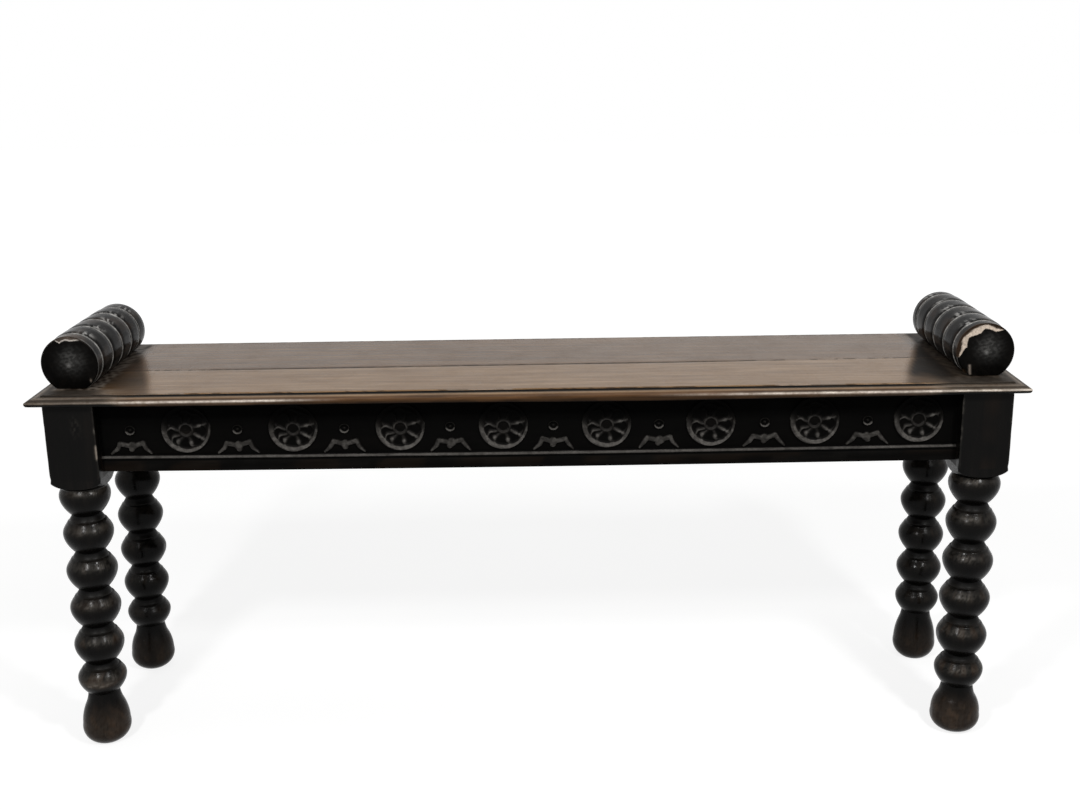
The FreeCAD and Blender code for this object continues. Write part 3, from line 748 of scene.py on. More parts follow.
@dataclass
class CarvedRail:
    """The front rail: sunk ground, bead and plain strip, with rosettes and splayed brackets in turn."""

    half_length: float = 518.5
    face_y: float = -113.0
    back_y: float = -91.0
    bottom: float = 363.5
    top: float = 450.0
    bead_z: float = 381.0
    bead_radius: float = 2.1
    ground_depth: float = 3.0
    shy: float = 0.1
    sunk_back: float = 1.5
    motif_z: float = 415.9
    sag: float = 1.7
    sag_reach: float = 540.0
    crease: float = 60.0
    ring_places: tuple[float, ...] = (-476.8, -348.1, -220.0, -93.2, 30.3, 156.6, 283.1, 406.1)
    rosette_places: tuple[float, ...] = (-409.8, -281.4, -153.0, -29.5, 94.0, 218.7, 342.8, 466.9)
    rosette_radius: float = 29.6
    rim_inside: float = 24.5
    hub: float = 8.6
    hub_drop: float = 1.6
    petal_reach: float = 26.1
    petal_round: float = 8.8
    spoon: float = 3.6
    ridge_turns: tuple[float, ...] = (17.0, 69.0, 121.0, 185.0, 222.0, 250.0, 286.0, 329.0)
    ridge_light: tuple[float, ...] = (0.55, 0.05, 0.05, 0.62, 0.75, 0.08, 0.10, 0.95)
    ridge_knobs: tuple[tuple[int, float], ...] = ((0, 0.5), (5, 0.8), (6, 1.1))
    ring_radius: float = 6.3
    columns: int = 210
    rosette_facets: int = 180
    ring_facets: int = 40
    bracket_grid: tuple[int, int] = (84, 32)

    def settle(self, x: Array) -> Array:
        """How far the carving hangs lower between the legs: sag times 1 less (x over reach) squared."""
        return self.sag * (1.0 - np.square(np.asarray(x, float) / self.sag_reach))

    def section(self) -> Array:
        """Closed outline of the rail across its length, starting at the back.

        Returns:
            (points, 2) place front to back and height.
        """
        face, ground = self.face_y, self.face_y + self.ground_depth
        low, high = self.bead_z - self.bead_radius - 2.0, self.bead_z + self.bead_radius + 2.0
        bead = arc((face + 1.9, self.bead_z - self.bead_radius), (face, self.bead_z),
                   (face + 1.9, self.bead_z + self.bead_radius), 9)
        points = [(self.back_y, self.bottom), (face + 1.2, self.bottom), (face + 0.3, self.bottom + 0.35),
                  (face, self.bottom + 1.2), (face, 370.0), (face, low - 0.6), (face + 0.3, low),
                  (face + 2.2, low + 1.2), (face + 2.2, self.bead_z - self.bead_radius - 0.3),
                  *map(tuple, bead), (face + 2.6, self.bead_z + self.bead_radius + 0.3),
                  (ground + 0.5, high - 1.0), (ground, high + 0.6), (ground, 400.0), (ground, 424.0),
                  (ground, self.top), (self.back_y, self.top), (self.back_y, 405.0)]
        return np.array(points)

    def body(self) -> tuple[Patch, ...]:
        """The rail's own board: its section carried along x, with small waves where it was cut by hand.

        The bead is rubbed bright, the grooves beside it and the sunk ground are darkened, the
        top of the face under the seat's edge gets a painted shadow, and the plain strip under it
        is brown in spots.

        Returns:
            The long skin and its two end caps.
        """
        section = self.section()
        x = np.linspace(-self.half_length, self.half_length, self.columns)[:, None]
        y, z = section[None, :, 0], section[None, :, 1]
        bead = bell(z, self.bead_z, 4.0) * (y < self.face_y + 3.2)
        y = y + 0.18 * waver(x, 21, 1040.0) * (y < -100.0) + bead * 0.12 * waver(x, 22, 160.0)
        hang = self.settle(x) * (1.0 - smooth(z, 425.0, 448.0)) * (0.85 + 0.25 * bead)
        z = z + 0.25 * waver(x, 23, 700.0) * bead - hang
        points = np.stack(np.broadcast_arrays(x, y, z), -1)
        level = z + self.settle(x)
        rub_and_highlight = bell(level, self.bead_z, 1.9) * (y < self.face_y + 1.7)
        spots = patches(x / 40.0, level / 10.0, 31, 0.0)
        wear_and_highlight = rub_and_highlight * (0.95 + 0.3 * spots)
        strip = (level < 377.0) * (y < self.face_y + 0.6)
        wear_and_highlight = wear_and_highlight + 0.04 * strip * patches(x / 60.0, level / 6.0, 32)
        warm = 0.16 * strip * patches(x / 70.0, level / 40.0, 33, 0.25)
        off_bead = np.abs(level - self.bead_z)
        groove = smooth(off_bead, 1.9, 2.4) * (1.0 - smooth(off_bead, 3.6, 4.6))
        in_front = y < -105.0
        ground = 0.8 * smooth(level, 384.5, 386.0) * in_front
        # Grime from 420 mm up is the painted shadow of the seat's overhang.
        grime_and_shade = groove + ground + smooth(level, 420.0, 430.0) * in_front + 0.5 * strip
        ends = [Patch(np.stack([row, row.mean(0) + 0 * row]), closed=True) for row in points[[0, -1]]]
        masks = {"wear_and_highlight": wear_and_highlight, "grime_and_shade": grime_and_shade, "warm": warm}
        return (Patch(points, masks, closed=True), *ends)

    def slab(self, x: Array, z: Array, height: Array, masks: dict[str, Array],
             closed: bool) -> tuple[Patch, ...]:
        """A carved relief as a closed slab.

        Its front stands height proud of the sunk ground, and its back lies in the wood.

        Args:
            x: place along the rail.
            z: height above the floor.
            height: how far the front stands out from the ground.
            masks: masks of the front, with wear, painted light and painted shade.
            closed: whether the columns run round a centre.
        Returns:
            The front, the back and the walls between them.
        """
        ground = self.face_y + self.ground_depth
        front = np.stack([x, ground - height, z], -1)
        back = np.stack([x, np.full_like(x, ground + self.sunk_back), z], -1)
        parts = [Patch(front, masks, closed), Patch(back, {}, closed)]
        if closed:
            return (*parts, Patch(np.stack([front[-1], back[-1]]), {}, True))
        edges = [(front[0], back[0]), (front[-1], back[-1]),
                 (front[:, 0], back[:, 0]), (front[:, -1], back[:, -1])]
        return (*parts, *[Patch(np.stack(pair)) for pair in edges])

    def carve(self, name: str, parts: tuple[Patch, ...], finishes: Finishes) -> None:
        """Makes one piece of the carving from its patches."""
        Piece(name, "dark_oak", ("front_rail",)).add(*parts).finish(finishes.carving, self.crease)

    def ledge_light(self, radius: Array, around: Array, height: Array, z: Array) -> Array:
        """Painted light on the upward ledges of a round carving, which stand out more with each step down.

        The slope is minus the change of height with z, from the changes with radius and angle,
        and the painted light fades out where the seat's edge casts its shadow.

        Args:
            radius: rows of the polar grid.
            around: its angles.
            height: how far the carving stands out.
            z: height above the floor.
        Returns:
            The mask, 0 to 1.
        """
        outward = np.gradient(height, radius[:, 0], axis=0)
        turned = (np.roll(height, -1, 1) - np.roll(height, 1, 1)) / (2.0 * TAU / height.shape[1])
        slope = -(outward * np.sin(around) + turned * np.cos(around) / np.maximum(radius, 1.0))
        return smooth(slope, 0.05, 0.38) * (0.06 + 0.94 * smooth(z, self.motif_z + 10.0, self.motif_z - 6.0))

    def rosette(self, number: int, x0: float, finishes: Finishes) -> None:
        """Carves one rosette: a sloping rim round eight spoon cut petals and a hollow middle.

        The petals and the cup in their middle lie round a point a little under the rim's
        centre. A petal is a wedge between two curved ridges that ends in a round of its own
        width, which cuts a little way into the rim. Its hollow deepens as the sine of the
        distance in from its outline. The ridges fall away before the rim, which is widest at
        the lower left, climbs outwards and drops steeply at its outer edge.

        Args:
            number: the motif's place along the rail.
            x0: its centre.
            finishes: the finishes.
        """
        rng = np.random.default_rng(400 + number)
        radius = np.concatenate([np.linspace(0.0, 24.0, 40),
                                 np.linspace(self.rim_inside, self.rosette_radius - 0.8, 10),
                                 self.rosette_radius + np.array([-0.5, -0.2, 0.0, 0.15])])[:, None]
        around = np.linspace(0.0, TAU, self.rosette_facets, endpoint=False)[None, :]
        x, z = radius * np.cos(around), radius * np.sin(around)
        out = np.hypot(x, z + self.hub_drop)
        face = np.arctan2(z + self.hub_drop, x) % TAU
        face = face + 0.3 * bell(out, 17.0, 6.0) * smooth(np.cos(face), 0.1, -0.5)
        rim = np.hypot(x - 1.5, z - 0.8) - self.rim_inside + 0.5 * waver(around, 30 + number, TAU)
        ridges = np.radians(self.ridge_turns) + rng.uniform(-0.06, 0.06, len(self.ridge_turns))
        half = (np.roll(ridges, -1) - ridges) % TAU / 2.0
        turn = (face[..., None] - ridges - half + math.pi) % TAU - math.pi
        reach = self.petal_reach + rng.uniform(-0.7, 0.5, half.size)
        ball = np.minimum(20.6 * half, self.petal_round)
        side, ahead = (out[..., None] * f(np.clip(turn, -1.5, 1.5)) for f in (np.sin, np.cos))
        wedge = (half - np.abs(turn)) * out[..., None] * 0.96 - 0.7
        round_end = ball - np.hypot(ahead - reach + ball, side)
        inside = np.where(ahead > reach - ball, np.minimum(round_end, wedge + 1.0), wedge)
        inside = np.where(np.abs(turn) < 1.2, inside, -5.0).max(-1)
        boss = self.hub + rng.uniform(-0.5, 0.4)
        inside = np.minimum(np.minimum(inside, (out - boss) * 0.9), 1.7 - rim)
        hollow = np.sin(np.clip(inside / self.spoon, 0.0, 1.0) * TAU / 4)
        top = self.ground_depth - self.shy
        sunk = (0.7 + rng.uniform(-0.2, 0.3)) * smooth(out, 24.0, 10.0) * (1.0 - hollow)
        height = top * (1.0 - 0.93 * hollow) - sunk
        height = height - 1.8 * (1.0 - smooth(out, boss - 3.4, boss - 1.0))
        fall = 1.0 - 0.6 * smooth(rim, -4.0, -0.4) + 0.6 * np.clip(rim / 4.6, 0.0, 1.0)
        height = np.minimum(height, top * fall)
        apart = np.abs((face[..., None] - ridges + math.pi) % TAU - math.pi) * out[..., None]
        widths = np.where(np.arange(ridges.size) == ridges.size - 1, 1.7, 0.95)
        petals = smooth(out, boss + 0.5, boss + 2.0) * smooth(rim, 0.5, -1.0)
        veins = (bell(apart, 0.0, 1.0 * widths) * np.array(self.ridge_light)).max(-1) * petals
        veins = veins * (0.22 + 0.78 * smooth(out, 11.0, 17.0))
        knobs = sum(share * bell(apart[..., ridge], 0.0, 2.5) for ridge, share in self.ridge_knobs)
        knobs = knobs * bell(out, 17.4, 2.3)
        height = height + 0.9 * knobs + 0.5 * veins
        edge = smooth(radius, self.rosette_radius - 0.7, self.rosette_radius + 0.15)
        height = (height + 0.10 * waver(around, number, TAU)) * (1.0 - edge) - 0.3 * edge
        drop = self.motif_z - self.settle(x0)
        # Painted light on the upward ledges, fading under the seat's edge.
        ledge = self.ledge_light(radius, around, height, self.motif_z + z)
        spots = patches(x / 9.0 + number, z / 9.0, 500 + number, 0.0)
        lip = bell(out, boss - 0.7, 0.75) * (0.12 + 0.88 * smooth(z, -5.0, 1.0)) * (0.7 + 0.3 * spots)
        # fade is 1 below the centre and 0 above it, where the seat's edge casts its shadow, and keeps
        # painted light out of the shaded part.
        fade = smooth(z, 11.0, 1.0)
        whole = 1.0 - smooth(hollow, 0.05, 0.45)
        # Painted highlight on the lower inner slope of the rim.
        crescent = smooth(rim, -0.3, 1.1) * (1.0 - edge) * smooth(z, 6.0, -9.0) * whole
        wear_and_highlight = ledge * (0.4 + 0.3 * spots) * smooth(rim, -0.3, 1.2) * whole
        wear_and_highlight = wear_and_highlight + crescent * (0.40 + 0.4 * spots)
        wear_and_highlight = wear_and_highlight + fade * (0.5 * lip + veins) + 1.7 * knobs * smooth(z, 12.0, 4.0)
        wear_and_highlight = wear_and_highlight + 0.2 * ledge * smooth(rim, 0.8, -1.0)
        wear_and_highlight = wear_and_highlight + 0.10 * fade * smooth(height, top * 0.55, top * 0.98) * (1.0 - edge)
        # Besides the dark hollows, grime above the centre paints the shadow of the seat's edge.
        grime_and_shade = smooth(hollow, 0.25, 0.95) * 0.9 + 1.0 - smooth(z, 14.0, 5.0)
        parts = self.slab(x0 + x, drop + z, height, {"wear_and_highlight": wear_and_highlight, "grime_and_shade": grime_and_shade}, True)
        self.carve(f"rosette_{number:02d}", parts, finishes)

    def ring(self, number: int, x0: float, finishes: Finishes) -> None:
        """Carves one small saucer with a dot: it climbs from a moat to its outer edge, then drops.

        Args:
            number: the motif's place along the rail.
            x0: its centre.
            finishes: the finishes.
        """
        radius = np.concatenate([np.linspace(0.0, 2.6, 6), np.linspace(3.1, 5.8, 8),
                                 self.ring_radius + np.array([-0.4, -0.15, 0.0, 0.2])])[:, None]
        around = np.linspace(0.0, TAU, self.ring_facets, endpoint=False)[None, :]
        dot = 2.0 * (1.0 - smooth(radius, 1.1, 2.3))
        saucer = 0.25 + 2.5 * smooth(radius, 3.9, self.ring_radius - 0.6)
        edge = smooth(radius, self.ring_radius - 0.45, self.ring_radius + 0.2)
        height = np.maximum(dot, saucer) * (1 - edge) - 0.3 * edge + 0.08 * waver(around, number, TAU)
        rng = np.random.default_rng(600 + number)
        x = x0 + radius * np.cos(around)
        level = radius * np.sin(around) * 0.94
        z = self.motif_z - 0.9 - self.settle(x0) + rng.uniform(-0.6, 0.6) + level
        # Painted highlight on the ring's lower half and its upward ledges, fading upwards.
        low = 0.12 + 0.88 * smooth(level, 0.5, -3.0)
        ledge = self.ledge_light(radius, around, height, self.motif_z + level)
        wear_and_highlight = low * (1.2 * ledge + 0.3 * smooth(height, 1.7, 2.7))
        masks = {"wear_and_highlight": wear_and_highlight, "grime_and_shade": 1.0 - smooth(height, 0.2, 1.2)}
        self.carve(f"ring_{number:02d}", self.slab(x, z, height, masks, True), finishes)

    def bracket(self, number: int, x0: float, finishes: Finishes) -> None:
        """Carves one splayed bracket: two tapering legs from a dipping bar with a point in its middle.

        Each limb is a line whose half width changes evenly from end to end. A point's depth
        inside the bracket is the greatest, over the limbs, of the limb's half width there minus
        the distance to its line. The height rises smoothly over the first 1.5 mm of that depth,
        and a little more up to 3.2 mm.

        Args:
            number: the motif's place along the rail.
            x0: its centre.
            finishes: the finishes.
        """
        rng = np.random.default_rng(700 + number)
        sway = rng.uniform(-1.0, 1.0, 12)
        low = self.bead_z + 4.4
        left = (-13.4 + sway[0], low + 12.8 + sway[1] * 0.7)
        right = (13.2 + sway[2], low + 13.2 + sway[3] * 0.7)
        knees = [(-17.4 + sway[10], low + 6.4), (17.4 + sway[11], low + 6.4)]
        dip = (sway[4] * 1.2, low + 9.6 + sway[5] * 0.6)
        limbs = [(left, knees[0], 3.4, 3.2), (knees[0], (-24.0 + sway[6], low + 0.4), 3.2, 2.0),
                 (right, knees[1], 3.2, 2.9), (knees[1], (24.2 + sway[7], low + 0.2), 2.9, 1.6),
                 (left, dip, 3.5, 3.5), (dip, right, 3.5, 3.6),
                 (dip, (sway[8] * 1.5, low + 5.4 + sway[9]), 6.3, 4.0)]
        columns, rows = self.bracket_grid
        x, z = np.meshgrid(np.linspace(-29.0, 29.0, columns), np.linspace(low - 1.5, low + 20.0, rows))
        inside = np.full_like(x, -9.0)
        for (ax, az), (bx, bz), wide, thin in limbs:
            along = ((x - ax) * (bx - ax) + (z - az) * (bz - az)) / ((bx - ax) ** 2 + (bz - az) ** 2)
            along = np.clip(along, 0.0, 1.0)
            away = np.hypot(x - ax - along * (bx - ax), z - az - along * (bz - az))
            inside = np.maximum(inside, wide + (thin - wide) * along - away)
        height = (self.ground_depth - self.shy) * smooth(inside, -0.1, 1.5)
        height = height + 0.25 * smooth(inside, 1.5, 3.2) - 0.3
        height += 0.12 * waver(x, number, 57.0) * (inside > 0.5)
        spots = patches(x / 7.0, z / 7.0, 800 + number, 0.0)
        wear_and_highlight = smooth(inside, 0.2, 1.3) * (0.36 + 0.26 * spots)
        masks = {"wear_and_highlight": wear_and_highlight, "grime_and_shade": 1.0 - smooth(inside, -0.2, 0.7)}
        parts = self.slab(x + x0, z - 1.1 * self.settle(x0), height, masks, False)
        self.carve(f"bracket_{number:02d}", parts, finishes)

    def build(self, finishes: Finishes) -> None:
        """Builds the rail's board, then eight times a ring over its bracket and a rosette.

        Args:
            finishes: the finishes.
        """
        Piece("carved_rail_board", "dark_oak", ("front_rail",)).add(*self.body()).finish(finishes.carving)
        for pair, (ring_x, rosette_x) in enumerate(zip(self.ring_places, self.rosette_places)):
            self.ring(2 * pair, ring_x, finishes)
            self.bracket(2 * pair, ring_x, finishes)
            self.rosette(2 * pair + 1, rosette_x, finishes)


# Seat

@dataclass
class SeatTop:
    """The two-board top with a moulded nose along the front and both ends."""

    half_x: float = 589.0
    half_y: float = 142.0
    top: float = 462.5
    thickness: float = 12.5
    seam_left: float = -11.5
    seam_right: float = 1.5
    quirk: float = 15.0
    dark_from: float = 462.0
    roll_line: float = 512.0
    dark_band_reach: float = 27.5
    crease: float = 32.0
    bruise: float = 0.35
    columns: int = 220
    rows: int = 26

    def seam(self, x: Array) -> Array:
        """The line of the joint between the boards, slightly askew, with a slow waver."""
        t = (x + self.half_x) / (2.0 * self.half_x)
        return self.seam_left + (self.seam_right - self.seam_left) * t + 0.5 * waver(x, 41, 2400.0)

    def gap(self, x: Array) -> Array:
        """Half the width of the open joint: widest left of the middle, nearly shut at the ends."""
        return 0.08 + 0.55 * bell(x, -110.0, 210.0) + 0.2 * bell(x, 300.0, 90.0)

    def profile(self) -> Array:
        """The moulded edge from the top face round to the underside: quirk, ovolo, nose and bevel.

        Returns:
            (points, 2) distance in from the widest place and drop under the top.
        """
        q = self.quirk
        ovolo = arc((q, 1.3), (6.75, 2.11), (0.35, 4.6), 12)
        nose = np.array([(0.08, 5.2), (0.0, 6.0), (0.05, 6.8), (0.3, 7.6), (0.8, 8.5), (1.4, 9.4)])
        bevel = np.array([(4.0, 10.4), (8.0, 11.6), (12.0, self.thickness)])
        quirk = np.array([(q + 1.2, 0.0), (q + 0.4, 0.06), (q + 0.3, 0.3), (q + 0.24, 0.6),
                          (q + 0.16, 0.95), (q + 0.08, 1.2)])
        return np.concatenate([quirk, ovolo, nose, bevel])

    def edge(self, x: Array, y: Array, drop: Array, run: Array, seed: int) -> Patch:
        """A length of the moulded edge with the bruises, rubbing and painted highlights of its nose.

        Bruises push the nose in where a slow waver is high, and its underside sinks away
        towards the middle. The arris gets a painted highlight at both sides of the middle. The
        quirk and the valley under it are darkened, the lower nose and the underside get painted
        shade, and the ends are darker.

        Args:
            x: place across, (profile points, samples).
            y: place front to back, of the same shape.
            drop: how far each profile point lies under the top, (profile points, 1).
            run: distance along the edge, one per sample.
            seed: picks the wear.
        Returns:
            The patch.
        """
        nose = bell(drop, 5.6, 3.2)
        bruise = self.bruise * nose * smooth(waver(run, seed, 390.0), 0.2, 0.9)[None, :]
        x = x - np.sign(x) * bruise * (np.abs(x) > self.half_x - 20.0)
        y = y + bruise * (y < -self.half_y + 20.0)
        away = np.abs(x)
        sink = 1.3 * smooth(away, 560.0, 420.0) + 1.5 * bell(x, 140.0, 170.0) * (y < 100.0 - self.half_y)
        z = self.top - drop - sink * bell(drop, 9.4, 1.2)
        spots = patches(run[None, :] / 22.0, drop / 8.0, seed + 1, -0.1)
        # The arris is painted as a highlight at both sides of the middle.
        rubbed_and_highlit = smooth(x, -210.0, -330.0) * (1.0 - 0.68 * smooth(x, -455.0, -520.0))
        rubbed_and_highlit = rubbed_and_highlit + smooth(x, 120.0, 360.0)
        arris = bell(drop, 5.4, 1.15) * rubbed_and_highlit * (0.72 + 0.28 * spots)
        rub_and_highlight = arris + 0.09 * bell(drop, 7.0, 2.0) * smooth(away, 250.0, 420.0)
        rub_and_highlight = rub_and_highlight + 0.08 * bell(drop, 2.0, 0.5)
        dark = smooth(away, self.dark_from, self.dark_from + 38.0)
        ledge = dark * bell(drop, 1.7, 0.5)
        rub_and_highlight = rub_and_highlight + 0.22 * ledge * np.where(y < 8.0 - self.half_y, 1.0, 0.3) + 0.2 * dark
        valley = bell(drop, 3.5, 0.8) * (0.15 + 0.5 * smooth(away, 200.0, 330.0))
        quirk = smooth(drop, 0.02, 0.3) * smooth(drop, 1.9, 1.3)
        streaks = patches(run[None, :] / 34.0, drop / 2.5, seed + 3, 0.0)
        # The lower nose and the underside are darkened as painted shade.
        lower = smooth(drop, 5.8, 9.0) * (0.55 + 0.2 * streaks)
        grime_and_shade = quirk + valley + smooth(drop, 8.4, 9.6) + 0.16 * streaks * smooth(drop, 2.4, 3.4)
        grime_and_shade = np.maximum(grime_and_shade, (0.85 * dark + lower) * (drop > 1.2))
        grime_and_shade = np.maximum(grime_and_shade, 0.91 * dark) * (1.0 - arris) * (1.0 - 0.3 * ledge)
        warm = (smooth(drop, 2.1, 3.4) + 0.2 * smooth(drop, 1.4, 2.0)) * (1.0 - 0.95 * dark)
        return Patch(np.stack([x, y, z], -1), {"wear_and_highlight": rub_and_highlight, "grime_and_shade": grime_and_shade, "warm": warm})

    def front_board(self, finishes: Finishes) -> None:
        """Builds the front board: a moulded edge round three sides, mitred, between two flat faces.

        Args:
            finishes: the finishes.
        """
        profile = self.profile()
        inset, drop = profile[:, :1], profile[:, 1:2]
        wide, deep = self.half_x - inset, self.half_y - inset
        down = np.linspace(0.0, 1.0, self.rows)[None, :]
        back = [self.seam(side * wide) - self.gap(side * wide) for side in (-1.0, 1.0)]
        left = (-wide + 0 * down, back[0] + (-deep - back[0]) * down)
        across = np.linspace(0.0, 1.0, self.columns)[None, :]
        front = (-wide + 2.0 * wide * across, -deep + 0 * across)
        right = (wide + 0 * down, -deep + (back[1] + deep) * down)
        x = np.concatenate([left[0], front[0][:, 1:], right[0][:, 1:]], 1)
        y = np.concatenate([left[1], front[1][:, 1:], right[1][:, 1:]], 1)
        run = np.concatenate([[0.0], np.cumsum(np.hypot(np.diff(x[0]), np.diff(y[0])))])
        piece = Piece("seat_front_plank", "seat_oak", ("seat_front_board",))
        piece.add(self.edge(x, y, drop, run, 43))
        self.faces(piece, profile, across, down[0][::-1], front_side=True)
        piece.finish(finishes.seat_front, self.crease)

    def stains_and_shade(self, x: Array, y: Array, near: Array) -> dict[str, Array]:
        """Masks of the top's face: the dark joint, and a dark band along both rolls that is old wax and dirt
        together with the painted reflection and shadow of the roll.

        The band reaches further in from the roll towards the front, where it is also thinner.
        Right beside the roll is a narrow dark strip with pale slanting strokes, a painted
        reflection of the roll and its highlights.

        Args:
            x: place across.
            y: place front to back.
            near: distance from the joint.
        Returns:
            The grime and shade, warm, and wear and highlight masks.
        """
        away = self.roll_line - np.abs(x)
        edge = self.dark_band_reach - 0.31 * y + 1.5 * waver(y, 45, 300.0)
        # The dark band follows the roll's reflection and shadow on the polished top.
        dirt_and_shade = smooth(away, edge + 6.0, edge - 7.0)
        tone = 0.50 + 0.34 * smooth(y, -118.0, -55.0) + 0.08 * waver(x + y, 47, 170.0)
        tone = np.minimum(tone + (x > 0.0) * (0.15 + 0.2 * smooth(away, 34.0, 12.0)), 0.97)
        strip = smooth(away, 4.0, -3.0)
        reflected_strokes = patches((np.abs(x) + 0.5 * y) / 5.0, (y - np.abs(x)) / 70.0, 46, -0.2)
        reflected_strokes = reflected_strokes * (0.45 + 0.55 * (x < 0.0))
        front = smooth(y, -96.0, -104.0) * smooth(np.abs(x), 470.0, 520.0)
        joint = 0.8 * bell(near, 0.0, 0.9) * smooth(np.abs(x + 60.0), 420.0, 260.0)
        grime_and_shade = joint + dirt_and_shade * tone * (1.0 - strip) + strip * (0.95 - 0.17 * reflected_strokes)
        grime_and_shade = np.maximum(grime_and_shade, 0.93 * front)
        warm = 0.35 * dirt_and_shade * (1.0 - strip) * (1.0 - front)
        wear_and_highlight = 0.5 * reflected_strokes * strip * (1.0 - front) + 0.35 * front + 0.03 * smooth(x, -60.0, 140.0)
        return {"grime_and_shade": grime_and_shade, "warm": warm, "wear_and_highlight": wear_and_highlight}

    def faces(self, piece: Piece, profile: Array, across: Array, down: Array, front_side: bool) -> None:
        """Adds a board's two flat faces and the upright walls between them.

        The upper face is eased down by a bell curve of the distance from the joint. The back
        board has a wall at the joint and one at the back. The front board has one behind its
        front moulding, and its side at the joint is open, as the moulding's ends are.

        Args:
            piece: the board.
            profile: the moulding's points.
            across: samples from left to right, 0 to 1.
            down: each row's place from the board's front side to its back side, 0 to 1.
            front_side: whether it is the front board.
        """
        rims = []
        for inset, drop in (profile[0], profile[-1]):
            wide = self.half_x - inset
            x = (-wide + 2.0 * wide * across) + 0 * down[:, None]
            joint = self.seam(x) + (-self.gap(x) if front_side else self.gap(x))
            start, end = (-(self.half_y - inset), joint) if front_side else (joint, self.half_y)
            y = start + (end - start) * down[:, None]
            near = np.abs(y - self.seam(x))
            ease = bell(near, 0.0, 1.1) * 0.35 * smooth(np.abs(x + 60.0), 480.0, 300.0) * (drop < 1.0)
            masks = self.stains_and_shade(x, y, near) if drop < 1.0 else {"grime_and_shade": np.full_like(x, 0.6)}
            grid = np.stack([x, y, self.top - drop - ease], -1)
            piece.add(Patch(grid, masks))
            rims.append(grid)
        for row in ((-1,) if front_side else (0, -1)):
            upper, lower = rims[0][row], rims[1][row]
            steps = np.linspace(0.0, 1.0, 4)[:, None, None]
            wall = upper + (lower - upper) * steps
            piece.add(Patch(wall, {"grime_and_shade": np.full(wall.shape[:2], 0.9)}))

    def back_board(self, finishes: Finishes) -> None:
        """Builds the back board: moulded at both ends, square along the joint and the back.

        Args:
            finishes: the finishes.
        """
        profile = self.profile()
        inset, drop = profile[:, :1], profile[:, 1:2]
        wide = self.half_x - inset
        down = np.linspace(0.0, 1.0, self.rows)
        piece = Piece("seat_back_plank", "seat_oak", ("seat_back_board",))
        for side in (-1.0, 1.0):
            joint = self.seam(side * wide) + self.gap(side * wide)
            x = side * wide + 0 * down[None, :]
            y = joint + (self.half_y - joint) * down[None, :]
            piece.add(self.edge(x, y, drop, y[0], 51 + int(side)))
        across = np.linspace(0.0, 1.0, self.columns)[None, :]
        self.faces(piece, profile, across, down, front_side=False)
        piece.finish(finishes.seat_back, self.crease)

    def build(self, finishes: Finishes) -> None:
        """Builds both boards."""
        self.front_board(finishes)
        self.back_board(finishes)


# Rolls

class Side(Enum):
    """Which end of the bench, as the sign of x."""

    LEFT = -1.0
    RIGHT = 1.0


@dataclass
class Rings:
    """A roll's grid, whose rows are rings from the middle of the front disc to the back end.

    It holds the angles round the roll, each point's place along it and distance from its axis,
    the width of the break and how torn it is at each angle, and the bevel's first and last row.
    """

    around: Array
    along: Array
    out: Array
    chip: Array
    torn: Array
    first: int
    last: int


